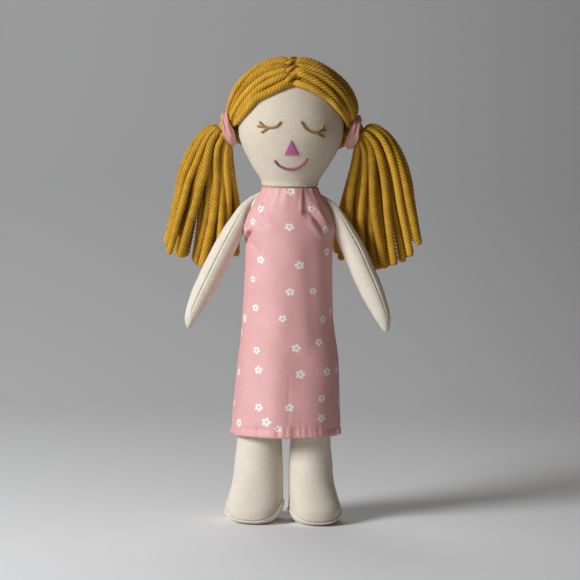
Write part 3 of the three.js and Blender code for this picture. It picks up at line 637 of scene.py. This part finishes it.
def smooth_path(points, spacing):
    """Evenly spaced points on a smooth line through places, each with its share of the thickness."""
    knots = np.array([(*place, share) for place, share in points])
    ends = np.vstack([2 * knots[0] - knots[1], knots, 2 * knots[-1] - knots[-2]])
    fine = []
    for i in range(1, len(ends) - 2):
        a, b, c, d = ends[i - 1:i + 3]
        t = np.linspace(0, 1, SPAN_POINTS, endpoint=False)[:, None]
        fine.append(0.5 * (2 * b + (c - a) * t + (2 * a - 5 * b + 4 * c - d) * t ** 2
                           + (3 * b - a - 3 * c + d) * t ** 3))
    fine = np.vstack([*fine, knots[-1:]])
    run = np.concatenate([[0], np.cumsum(np.linalg.norm(np.diff(fine[:, :3], axis=0), axis=1))])
    even = np.linspace(0, run[-1], max(4, int(run[-1] / spacing) + 1))
    return np.column_stack([np.interp(even, run, fine[:, k]) for k in range(4)])


def twist_yarn(name, lines, thickness, plies=YARN_PLIES, lead=YARN_LEAD, spacing=YARN_STEP,
               points_per_ply=3, worn=0):
    """Yarn of some plies, twisted together once in each lead, along every line of (place, share)
    points. The last stretch of each strand, as long as worn says, is rounded off."""
    count = plies * points_per_ply
    turns = np.arange(count) * 2 * math.pi / count
    lobe = np.abs(np.sin(turns * plies / 2 + math.pi / 2 / points_per_ply))
    outline = bpy.data.curves.new(name + "_outline", "CURVE")
    ring = outline.splines.new("POLY")
    ring.points.add(count - 1)
    ring.use_cyclic_u = True
    for point, turn, swell in zip(ring.points, turns, lobe):
        radius = thickness / 2 * (1 - PLY_DEPTH + PLY_DEPTH * swell)
        point.co = (radius * math.cos(turn), radius * math.sin(turn), 0, 1)
    outline_object = bpy.data.objects.new(name + "_outline", outline)
    bpy.context.collection.objects.link(outline_object)
    curve = bpy.data.curves.new(name, "CURVE")
    curve.dimensions = "3D"
    curve.bevel_mode = "OBJECT"
    curve.bevel_object = outline_object
    paths = [smooth_path(line, spacing) for line in lines]
    for path in paths:
        spline = curve.splines.new("POLY")
        spline.points.add(len(path) - 1)
        start = dice.uniform(0, 2 * math.pi)
        for i, (point, (x, y, z, share)) in enumerate(zip(spline.points, path)):
            point.co = (x, y, z, 1)
            point.tilt = start + i * spacing * 2 * math.pi / lead
            left = (len(path) - 1 - i) * spacing
            point.radius = share
            if left < worn:
                point.radius = share * math.sqrt(1 - WORN_AWAY * (1 - left / worn) ** 2)
    yarn = bpy.data.objects.new(name, curve)
    bpy.context.collection.objects.link(yarn)
    bpy.ops.object.select_all(action="DESELECT")
    yarn.select_set(True)
    bpy.context.view_layer.objects.active = yarn
    bpy.ops.object.convert(target="MESH")
    yarn = bpy.context.object
    bpy.data.objects.remove(outline_object)
    shades = [np.full(len(path) * count, dice.uniform()) for path in paths]
    # 1 on the crest of a ply and 0 in the groove between plies, which the materials use to paint shade
    # into the grooves.
    ply_crest_shades = [np.tile(lobe, len(path)) for path in paths]
    runs = [np.repeat(np.arange(len(path)) * spacing + dice.uniform(), count) for path in paths]
    for key, values in (("strand", shades), ("ply_crest_shade", ply_crest_shades), ("run", runs)):
        stored = yarn.data.attributes.new(key, "FLOAT", "POINT")
        stored.data.foreach_set("value", np.concatenate(values))
    bpy.ops.object.mode_set(mode="EDIT")
    bpy.ops.mesh.select_all(action="SELECT")
    bpy.ops.mesh.fill_holes(sides=0)
    bpy.ops.object.mode_set(mode="OBJECT")
    close_seams()
    return yarn


def paint_wool(start):
    """Gold wool with painted shade between its plies, and some strands and stretches paler than others.
    """
    strand = start.attribute("strand")
    fibre = start.fibres(2600)
    fleck = start.grain(strand * 90, start.attribute("run") * 160, 3)
    # Painted shade in the grooves between plies, with paler and darker strands and flecks.
    tone = (start.attribute("ply_crest_shade") * 0.78 + strand * 0.24 + fleck * 0.34 - 0.26).clamped()
    return tone.mix(srgb(99, 51, 8), srgb(246, 191, 62)), 0.9 - fibre * 0.1, fibre, 0.0003


gold_wool = mix_material("gold_wool", paint_wool, 0.05, 0.08)

HEAD_CENTRE = Vector((0, middle_y, WIDEST_Z))
HAIRLINE_FRONT = math.radians(46)
HAIRLINE_BACK = math.radians(214)
TIE_TILT = math.radians(21)
TIE_AXIS = Vector((math.cos(TIE_TILT), 0, -math.sin(TIE_TILT)))
TIE_UPRIGHT = TIE_AXIS.cross(FRONT)
TIE_CENTRE = Vector((0.0468, middle_y + 0.004, 0.2960))
TIE_BORE = 0.0104
BUNCH_DIRECTION = Vector((HEAD_HALF[0], 0.004, -0.001)).normalized()
SCALP_RUNS = (0, 0.03, 0.08, 0.15, 0.26, 0.4, 0.54, 0.68, 0.79)
LOOSE_LIFT = 0.0024
HAIRLINE_BAND = 0.13


def scalp_point(direction, lift):
    """Where a direction from the middle of the head meets the scalp or a skin lifted off it."""
    near, far = 0.0, 0.1
    for _ in range(40):
        reach = (near + far) / 2
        point = direction * reach
        width, depth = head_half(point.z + WIDEST_Z, lift)
        if (point.x * depth) ** 2 + (point.y * width) ** 2 < (width * depth) ** 2:
            near = reach
        else:
            far = reach
    return HEAD_CENTRE + direction * near


def parting_angle(along):
    """The angle over the head, from the face upwards, of a share of the parting's length."""
    return HAIRLINE_FRONT + (HAIRLINE_BACK - HAIRLINE_FRONT) * along


def strand_direction(along, run, sag):
    """Where a strand lies: along is its place on the parting, run goes from the parting to the tie."""
    notch = math.radians(5) * hump(run, 0.07) * (1 - along) ** 9
    angle = parting_angle(along) + notch
    start = Vector((0, -math.cos(angle), math.sin(angle)))
    sag = sag * (1 - along) ** 2 * math.sin(math.pi * run**1.7)
    return (start.slerp(BUNCH_DIRECTION, run) + Vector((0, -sag, -sag))).normalized()


def around_tie(point):
    """The direction of a point from the axis of the tie."""
    offset = point - TIE_CENTRE
    return (offset - TIE_AXIS * offset.dot(TIE_AXIS)).normalized()


def scalp_line(along, lift, hold, thin, sag, puff, dive=0):
    """A strand from the parting over the scalp and into the tie, close to the head at the hairline."""
    line = []
    thick = dice.uniform(0.9, 1.1)
    for run in SCALP_RUNS:
        loose = LOOSE_LIFT * math.sin(math.pi * min(1, 1.15 * run)) ** 2 + puff * hump(run - 0.72, 0.24)
        rise = lift * min(1, 0.5 + 7 * run) + loose * (1 - hump(along, HAIRLINE_BAND))
        rise -= dive * unit((run - 0.12) / 0.4)
        drift = 0.012 * noise.noise(Vector((along * 50, run * 6, lift * 700)))
        direction = strand_direction(along + drift, run, sag)
        wave = 0.0010 * noise.noise(Vector((along * 40, run * 5, lift * 900)))
        share = thick * (1 + (thin - 1) * max(0, (run - 0.3) / 0.6) ** 1.3)
        line.append((scalp_point(direction, rise + wave), share))
    out = around_tie(line[-1][0]) * hold
    line.append((TIE_CENTRE - TIE_AXIS * 0.0055 + out, thin))
    line.append((TIE_CENTRE - TIE_AXIS * 0.002 + out * 0.94, thin * 0.92))
    line.append((TIE_CENTRE + TIE_AXIS * 0.001 + out * 0.9, thin * 0.9))
    return line


def mirror(point, side):
    """A point on the doll's left, or its mirror image on the right."""
    return Vector((side * point.x, point.y, point.z))


def mirrored(lines, side):
    return [[(mirror(place, side), share) for place, share in line] for line in lines]


TOP_STRANDS = 25
TOP_LIFT = 0.0058
HAIRLINE_LIFT = 0.0034
DIVE = 0.0030
UNDER_STRANDS = 22
UNDER_LIFT = 0.0026
UNDER_FROM = 0.07
for side, name, sag, puff in ((1, "left", 0.12, 0.0046), (-1, "right", 0.17, 0.0026)):
    lines = []
    for i in range(TOP_STRANDS):
        along = (i + 0.5 + dice.uniform(-0.12, 0.12)) / TOP_STRANDS
        lift = (TOP_LIFT if i else HAIRLINE_LIFT) + dice.uniform(-0.0007, 0.0007)
        dive = DIVE * (i % 3 == 1) + dice.uniform(0, 0.0008)
        lines.append(scalp_line(along, lift, TIE_BORE * 0.84, 0.5, sag, puff, dive))
    for i in range(UNDER_STRANDS):
        along = UNDER_FROM + (1 - UNDER_FROM) * i / (UNDER_STRANDS - 1)
        lines.append(scalp_line(along, UNDER_LIFT, TIE_BORE * 0.45, 0.45, sag, puff))
    hair = twist_yarn(f"{name}_hair_strands", mirrored(lines, side), YARN_THICKNESS)
    hair.data.materials.append(gold_wool)
    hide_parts(f"{name}_hair")
    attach(hair, "torso")


# Parting: a row of short slanting stitches, in the same yarn, over the middle of the scalp. They sew
# the strands of both halves down on to the head.
PARTING_STITCHES = 15
STITCH_SLANT = math.radians(4.5)
STITCH_THICKNESS = 0.62
SCALP_REACH = 0.045
stitches = []
for i in range(PARTING_STITCHES):
    angle = parting_angle((i + 0.5) / PARTING_STITCHES)
    ahead = angle + STITCH_SLANT
    stitch = []
    for across, turn, lift in (
        (-0.0046, angle, 0.0044),
        (-0.002, angle, 0.0068),
        (0.002, ahead, 0.0068),
        (0.0046, ahead, 0.0044),
    ):
        direction = Vector((across / SCALP_REACH, -math.cos(turn), math.sin(turn))).normalized()
        stitch.append((scalp_point(direction, lift), STITCH_THICKNESS))
    stitches.append(stitch)
parting = twist_yarn("hair_parting_stitches", stitches, YARN_THICKNESS, lead=YARN_LEAD * 0.8)
parting.data.materials.append(gold_wool)
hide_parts("hair_parting")
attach(parting, "torso")


# Hair ties: strips of pink cotton wound round each bunch beside the head and tucked in, so that
# creases run along them.
TIE_WIDTH = 0.0070
TIE_THICKNESS = 0.0028
COTTON_PITCH = 0.00045


def paint_rose(start):
    across, along, weave, slub = woven(start, COTTON_PITCH)
    blotch = start.grain(across * 130, along * 130, 3)
    tone = (slub * 0.5 + blotch * 0.5 + weave * 0.1 - 0.05).clamped()
    colour = tone.mix(srgb(196, 128, 122), srgb(240, 184, 174))
    return colour, 0.92 - weave * 0.1, weave + slub, 0.00012


rose_cotton = mix_material("rose_cotton", paint_rose)


def tie_point(side):
    def place(u, v):
        turn = math.tau * u
        cross = math.tau * v
        outward = FRONT * math.cos(turn) + TIE_UPRIGHT * math.sin(turn)
        width = TIE_WIDTH / 2 * (1 + 0.22 * math.sin(2 * turn + 0.6) + 0.1 * math.sin(5 * turn))
        crease = 0.00055 * math.sin(4 * cross + 2 * turn) + 0.0003 * math.sin(7 * cross - 3 * turn + 1)
        swell = TIE_THICKNESS / 2 * math.sin(cross) + crease * max(0, math.sin(cross))
        slide = 0.0012 * math.sin(turn + 0.8)
        point = TIE_CENTRE + outward * (TIE_BORE + TIE_THICKNESS / 2 + swell)
        return mirror(point + TIE_AXIS * (width * math.cos(cross) + slide), side)

    return place


for side, name in SIDES:
    tie = lay_grid(f"{name}_tie_band", 72, 40, tie_point(side), cut_cloth(0.072, 0.022))
    tie.data.materials.append(rose_cotton)
    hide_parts(f"{name}_hair_tie")
    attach(tie, "torso")


# Pigtails: the same yarn beyond the ties. The strands round over, fan out under their own weight and
# end where they were cut, not quite level.
TAIL_YARN = 0.0062
TAIL_WORN = 0.0032
PIVOT = TIE_CENTRE + TIE_AXIS * 0.01385
OUTER_FALLS = {
    1: [(0.0595, 0.3005), (0.0700, 0.2960), (0.0775, 0.2860), (0.0835, 0.2730), (0.0880, 0.2590),
        (0.0915, 0.2450), (0.0960, 0.2290), (0.1025, 0.2030)],
    -1: [(0.0580, 0.2975), (0.0660, 0.2925), (0.0715, 0.2835), (0.0755, 0.2740), (0.0800, 0.2620),
         (0.0840, 0.2450), (0.0890, 0.2280), (0.0965, 0.2030)],
}
INNER_FALLS = {
    1: [(0.0492, 0.2835), (0.0476, 0.2720), (0.0452, 0.2590), (0.0425, 0.2440), (0.0405, 0.2300),
        (0.0394, 0.2160), (0.0388, 0.2000), (0.0384, 0.1800)],
    -1: [(0.0462, 0.2835), (0.0456, 0.2720), (0.0443, 0.2590), (0.0421, 0.2440), (0.0405, 0.2300),
         (0.0394, 0.2160), (0.0388, 0.2000), (0.0384, 0.1800)],
}
TAIL_DEPTHS = (0.0080, 0.0090, 0.0100, 0.0108, 0.0114, 0.0118, 0.0120, 0.0122)
RINGS = ((16, 1.0), (10, 0.6), (4, 0.2))
cut_height = smooth_through([
    (0, 0.200), (0.2, 0.196), (0.5, 0.192), (0.72, 0.195), (0.86, 0.200), (1, 0.215),
])


def cut_at(line, height):
    """A line of points as far down as a height."""
    kept = [line[0]]
    for (a, _), (b, share) in zip(line, line[1:]):
        if b.z <= height < a.z:
            end = a + (b - a) * ((a.z - height) / (a.z - b.z))
            return [*kept, (end, share)]
        kept.append((b, share))
    return kept


def pigtail_lines(side):
    """The strands of a pigtail, ring by ring, from inside the tie to their cut ends."""
    lines = []
    for count, spread in RINGS:
        for i in range(count):
            turn = math.tau * (i + dice.uniform(-0.25, 0.25)) / count
            out, back = spread * math.cos(turn), spread * math.sin(turn)
            hold = (TIE_UPRIGHT * out + Vector((0, back, 0))) * TIE_BORE
            line = [
                (TIE_CENTRE - TIE_AXIS * 0.002 + hold * 0.72, 0.5),
                (TIE_CENTRE + TIE_AXIS * 0.0045 + hold * 0.47, 0.56),
            ]
            sway = dice.uniform(-0.0030, 0.0030, 2)
            share = 0.5 + 0.5 * out
            thick = dice.uniform(0.9, 1.08)
            falls = zip(OUTER_FALLS[side], INNER_FALLS[side], TAIL_DEPTHS)
            for step, ((x1, z1), (x0, z0), deep) in enumerate(falls):
                drop = step / (len(TAIL_DEPTHS) - 1)
                x = x0 + (x1 - x0) * share + sway[0] * math.sin(4 * drop + i) * min(1, 2 * drop)
                y = PIVOT.y + (0.006 + 0.022 * (1 - share)) * drop + back * deep
                y += sway[1] * math.sin(5 * drop + 2 * i)
                place = Vector((x, y, z0 + (z1 - z0) * share))
                line.append((place, thick * min(1, 0.64 + 1.3 * drop)))
            lines.append(cut_at(line, cut_height(share) + dice.uniform(-0.004, 0.004)))
    return lines


for side, name in SIDES:
    lines = mirrored(pigtail_lines(side), side)
    tail = twist_yarn(f"{name}_pigtail_strands", lines, TAIL_YARN, worn=TAIL_WORN)
    tail.data.materials.append(gold_wool)
    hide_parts(f"{name}_pigtail")
    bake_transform(tail)


# Dress: a sleeveless shift of two panels of pink cotton with a small printed flower, sewn up the sides
# as far as the armholes, gathered into the neck and turned up and stitched at the hem.
hem_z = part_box("dress_front")[0].z - 0.0021
dress_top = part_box("dress_front")[1].z + 0.0042
DRESS_LENGTH = 0.19
CLOTH_MIDDLE = 0.3
PANEL_OFFSET = 0.25
CLOTH_THICKNESS = 0.0008
HEM_FOLD = 0.0056
HEM_TILT = 0.0008 / 0.042
GATHERED_FROM = 0.226
dress_half = smooth_through([
    (hem_z, 0.0418), (0.0845, 0.0407), (0.105, 0.0394), (0.125, 0.0379), (0.143, 0.0355),
    (0.157, 0.0343), (0.170, 0.0337), (0.200, 0.0329), (0.2105, 0.0332), (0.2165, 0.0342),
    (0.222, 0.0354), (0.228, 0.0344), (0.235, 0.0321), (0.240, 0.0298), (0.245, 0.0265),
    (0.249, 0.0235), (dress_top, 0.0213),
])
dress_shift = smooth_through([
    (hem_z, 0.0013), (0.0845, 0.0013), (0.105, 0.0016), (0.125, 0.0019), (0.143, 0.0013),
    (0.157, 0.0007), (dress_top, 0.0006),
])
dress_depth = smooth_through([
    (hem_z, 0.0305), (0.166, 0.0239), (0.212, 0.0229), (0.240, 0.0213), (dress_top, 0.0186),
])
armhole_degrees = smooth_through([
    (0.2125, 0), (0.2165, 7), (0.222, 12), (0.228, 15), (0.235, 18), (0.240, 18.5), (0.2445, 17),
    (dress_top, 13),
])
# Each crease runs from one place to another, across and up from the middle of the panel, with its half
# width and how far it stands out, where a groove is less than nothing.
FRONT_CREASES = [
    ((0.0106, 0.2535), (0.0110, 0.2345), 0.0010, -0.0008),
    ((0.0124, 0.2535), (0.0135, 0.2330), 0.0018, -0.0008),
    ((0.0084, 0.2535), (0.0082, 0.2360), 0.0014, 0.0006),
    ((0.0115, 0.2365), (0.0190, 0.2345), 0.0022, -0.0016),
    ((0.0186, 0.2415), (0.0278, 0.2265), 0.0016, 0.0013),
    ((0.0165, 0.2345), (0.0250, 0.2235), 0.0015, -0.0014),
    ((0.0150, 0.2290), (0.0240, 0.2170), 0.0022, 0.0008),
    ((-0.0190, 0.2425), (-0.0210, 0.2370), 0.0011, -0.0012),
    ((-0.0225, 0.2435), (-0.0235, 0.2360), 0.0012, 0.0008),
    ((0.0330, 0.2200), (0.0285, 0.2120), 0.0018, -0.0016),
    ((-0.0275, 0.2390), (-0.0190, 0.2260), 0.0032, -0.0017),
    ((-0.0215, 0.2395), (-0.0155, 0.2300), 0.0030, 0.0007),
    ((-0.0330, 0.2150), (-0.0235, 0.2060), 0.0026, -0.0016),
    ((0.0165, 0.2050), (0.0205, 0.1350), 0.0060, -0.0008),
    ((-0.0020, 0.1290), (0.0190, 0.1180), 0.0110, -0.0018),
    ((-0.0180, 0.1480), (0.0120, 0.1440), 0.0090, 0.0010),
    ((0.0014, 0.1120), (0.0018, 0.0720), 0.0009, -0.0003),
]
BACK_CREASES = [
    ((-x0, z0), (-x1, z1), wide, 0.8 * tall) for (x0, z0), (x1, z1), wide, tall in FRONT_CREASES
]


def crease_height(x, z, creases):
    """How far the creases push the cloth out at a place on a panel."""
    total = 0
    for (x0, z0), (x1, z1), wide, tall in creases:
        run = (x1 - x0) ** 2 + (z1 - z0) ** 2
        t = unit(((x - x0) * (x1 - x0) + (z - z0) * (z1 - z0)) / run)
        gap = math.hypot(x - x0 - t * (x1 - x0), z - z0 - t * (z1 - z0))
        total += tall * hump(gap, wide) * (0.45 + 0.55 * math.sin(math.pi * (0.12 + 0.76 * t)))
    return total


def armhole_tuck(x, z):
    """How far back the cloth is pulled into a tuck below the right armhole, inside a raised rim."""
    top = unit(((0.2240 - z) - 0.28 * (x + 0.0356)) / 0.0035)
    foot = unit((z - 0.2055) / 0.0050)
    beyond = -0.0266 - 0.61 * (0.2200 - z) - x
    valley = 0.0060 * hump(beyond - 0.0020, 0.0020)
    rim = 0.0024 * unit((beyond - 0.0030) / 0.0030)
    return (valley - rim) * top * foot


def dress_place(u, v):
    """The height of a place on a panel, and its turn from the doll's left side round to the right."""
    z = hem_z + (dress_top - hem_z) * v
    edge = math.radians(armhole_degrees(z))
    return z, edge + (math.pi - 2 * edge) * u


def dress_point(facing):
    creases = FRONT_CREASES if facing < 0 else BACK_CREASES

    def place(u, v):
        z, turn = dress_place(u, v)
        x = dress_half(z) * math.cos(turn)
        gathered = max(0, (z - GATHERED_FROM) / (dress_top - GATHERED_FROM)) ** 2
        gather = 0.0003 * gathered * math.cos(23 * turn + 2 * math.sin(3 * turn + facing))
        slack = (1 - v) ** 2 * 0.0006 * math.sin(turn) * math.cos(7 * turn + 0.6 + 0.4 * facing)
        hem = 0.0004 if z < hem_z + HEM_FOLD else 0
        stitch = -0.0007 * hump(z - hem_z - HEM_FOLD + 0.0002, 0.0013)
        pulled = noise.noise(Vector((turn * 19, facing * 3, 0.5))) * math.sin(turn)
        pucker = 0.0009 * pulled * hump(z - hem_z - 0.0045, 0.0045)
        slub = lumps((x * 1.4, facing * 0.1, z * 0.7), 0.022, 0.0006) * math.sin(turn)
        crease = crease_height(x, z, creases) * math.sin(turn) ** 0.5
        push = gather + slack + hem + stitch + pucker + slub + crease
        tuck = armhole_tuck(x, z) if facing < 0 else 0
        return Vector((
            dress_shift(z) + (dress_half(z) + push) * math.cos(turn),
            middle_y + facing * (dress_depth(z) + push) * math.sin(turn) + tuck,
            z + HEM_TILT * x * (1 - v) ** 2,
        ))

    return place


def dress_cloth(facing):
    def spot(u, v):
        z, turn = dress_place(u, v)
        reach = (dress_half(z) + dress_depth(z)) / 2
        middle = CLOTH_MIDDLE + PANEL_OFFSET * facing
        return (middle + (math.pi / 2 - turn) * reach, DRESS_LENGTH * v)

    return spot


PRINT_PITCH = 0.00042
FLOWER_SPACING = 0.0215
FLOWER_CORE = 0.0008


def paint_print(start):
    """Pink cotton, deeper where the hem is doubled, with a scatter of white flowers of five petals."""
    across, along, weave, slub = woven(start, PRINT_PITCH)
    blotch = start.grain(across * 60, along * 60, 3)
    tone = (slub * 0.7 + blotch * 0.3 + weave * 0.12 - 0.06).clamped()
    single = tone.mix(srgb(205, 131, 128), srgb(241, 188, 183))
    doubled = (HEM_FOLD - along).clamped(1500) * 0.22
    pink = doubled.mix(single, srgb(238, 158, 155))
    spot = start.node("CombineXYZ", (), {0: across / FLOWER_SPACING, 1: along / FLOWER_SPACING})
    inputs = {"Vector": spot, "Scale": 1, "Randomness": 0.72}
    scatter = start.node("TexVoronoi", {"voronoi_dimensions": "2D"}, inputs, "Position")
    chance = scatter.output("Color").axis("X")
    right = across - scatter.axis("X") * FLOWER_SPACING
    up = along - scatter.axis("Y") * FLOWER_SPACING
    reach = (right * right + up * up).math("SQRT")
    turn = up.math("ARCTAN2", right) + chance * math.tau
    petals = (turn * 2.5).math("COSINE").math("ABSOLUTE")
    size = chance * 0.0009 + 0.0029
    white = ((petals.math("POWER", 0.6) * 0.48 + 0.52) * size - reach).clamped(1900)
    flowers = (white * 0.9).mix(pink, srgb(245, 234, 229))
    core = (FLOWER_CORE - reach).clamped(2600)
    colour = core.mix(flowers, srgb(150, 138, 132))
    return colour, 0.56 - weave * 0.06, weave * 0.7 + slub, 0.00012


pink_print = mix_material("pink_print", paint_print, 0.05, 1.0)

panels = []
for facing in (-1, 1):
    panel = lay_grid(f"dress_panel_{facing}", 110, 140, dress_point(facing), dress_cloth(facing))
    panels.append(panel)
bpy.ops.object.select_all(action="DESELECT")
for panel in panels:
    panel.select_set(True)
dress = panels[0]
bpy.context.view_layer.objects.active = dress
bpy.ops.object.join()
close_seams()
dress.name = "dress"
wall = dress.modifiers.new("cloth", "SOLIDIFY")
wall.thickness = CLOTH_THICKNESS
wall.offset = -1
bpy.ops.object.modifier_apply(modifier="cloth")
dress.data.materials.append(pink_print)
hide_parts("dress_front", "dress_back")
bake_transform(dress)


# Neck edge: the top of the dress, turned in and rolled over a drawn thread. The thread pulls it close
# round the neck, which holds the dress up.
BINDING_RADIUS = 0.0008
BINDING_HALF = (0.0204, 0.0179)
BINDING_Z = dress_top - 0.0014


def binding_point(u, v):
    turn = math.tau * u
    cross = math.tau * v
    x = -BINDING_HALF[0] * math.sin(turn)
    y = middle_y + BINDING_HALF[1] * math.cos(turn)
    ripple = 1 + 0.16 * math.cos(34 * turn + 4 * math.sin(3 * turn))
    around = level_out(turn) * math.cos(cross) + Vector((0, 0, 1)) * math.sin(cross)
    return Vector((x, y, BINDING_Z)) + around * BINDING_RADIUS * ripple


binding = lay_grid("neck_edge", 240, 16, binding_point, cut_cloth(0.13, 0.011))
binding.data.materials.append(pink_print)
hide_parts("dress_neck_binding")
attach(binding, "torso")


# Face: closed eyes, nose and mouth, embroidered in stranded thread of three colours straight on to the
# canvas of the head.
THREAD = {"plies": 2, "points_per_ply": 5}
EYE_THREAD = 0.0019
NOSE_THREAD = 0.0012
MOUTH_THREAD = 0.0023
THREAD_PROUD = 0.000475


def on_face(x, z):
    width, depth = head_half(z, THREAD_PROUD)
    return Vector((x, middle_y - depth * math.sqrt(1 - (x / width) ** 2), z))


def sew_line(places):
    """A thread through places on the face, a little proud of the canvas."""
    return [(on_face(x, z), 1) for x, z in places]


def paint_thread(deep, pale):
    def paint(start):
        fibre = start.fibres(4200)
        # Painted shade in the grooves between the thread's plies, with fibre noise and paler and darker
        # strands.
        plies = start.attribute("ply_crest_shade") * 0.6
        tone = (plies + fibre * 0.3 + start.attribute("strand") * 0.25 - 0.08).clamped()
        return tone.mix(deep, pale), 0.62 - fibre * 0.15, fibre, 0.0001

    return paint


brown_thread = mix_material("brown_thread", paint_thread(srgb(108, 71, 28), srgb(186, 141, 77)), 0.1)
plum_thread = mix_material("plum_thread", paint_thread(srgb(158, 72, 116), srgb(212, 122, 168)), 0.1)
mauve_thread = mix_material("mauve_thread", paint_thread(srgb(122, 58, 80), srgb(182, 108, 130)), 0.1)

EYES = {
    "right": [
        [(-0.0076, 0.3034), (-0.0100, 0.3004), (-0.0136, 0.2988), (-0.0188, 0.2988), (-0.0248, 0.2994)],
        [(-0.0180, 0.2987), (-0.0206, 0.3002), (-0.0233, 0.3026)],
        [(-0.0166, 0.2987), (-0.0192, 0.2966), (-0.0218, 0.2948)],
    ],
    "left": [
        [(0.0074, 0.3038), (0.0090, 0.3008), (0.0112, 0.2984), (0.0157, 0.2960), (0.0202, 0.2962),
         (0.0262, 0.2976)],
        [(0.0200, 0.2961), (0.0228, 0.2986), (0.0247, 0.3018)],
        [(0.0196, 0.2960), (0.0216, 0.2940), (0.0247, 0.2924)],
    ],
}
for name, lines in EYES.items():
    sewn = [sew_line(line) for line in lines]
    eye = twist_yarn(f"{name}_eye_stitches", sewn, EYE_THREAD, lead=0.0034, spacing=0.0003, **THREAD)
    eye.data.materials.append(brown_thread)
    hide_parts(f"{name}_eye")
    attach(eye, "torso")

NOSE_ROWS = 13
NOSE_FOOT = 0.2786
NOSE_HEIGHT = 0.0107
nose_lines = []
for i in range(NOSE_ROWS):
    share = (i + 0.5) / NOSE_ROWS
    z = NOSE_FOOT + share * NOSE_HEIGHT
    left, right = -0.0045 + share * 0.0047, 0.0060 - share * 0.0055
    nose_lines.append(sew_line([(left, z), ((left + right) / 2, z + 0.0001), (right, z)]))
nose = twist_yarn("nose_stitches", nose_lines, NOSE_THREAD, lead=0.006, spacing=0.0005, **THREAD)
nose.data.materials.append(plum_thread)
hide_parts("nose")
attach(nose, "torso")

mouth_line = sew_line([
    (-0.0116, 0.2741), (-0.0086, 0.2706), (-0.0045, 0.2686), (0.0005, 0.2678), (0.0056, 0.2690),
    (0.0096, 0.2720), (0.0126, 0.2760),
])
mouth = twist_yarn("mouth_stitches", [mouth_line], MOUTH_THREAD, lead=0.0040, spacing=0.0004, **THREAD)
mouth.data.materials.append(mauve_thread)
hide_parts("mouth")
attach(mouth, "torso")
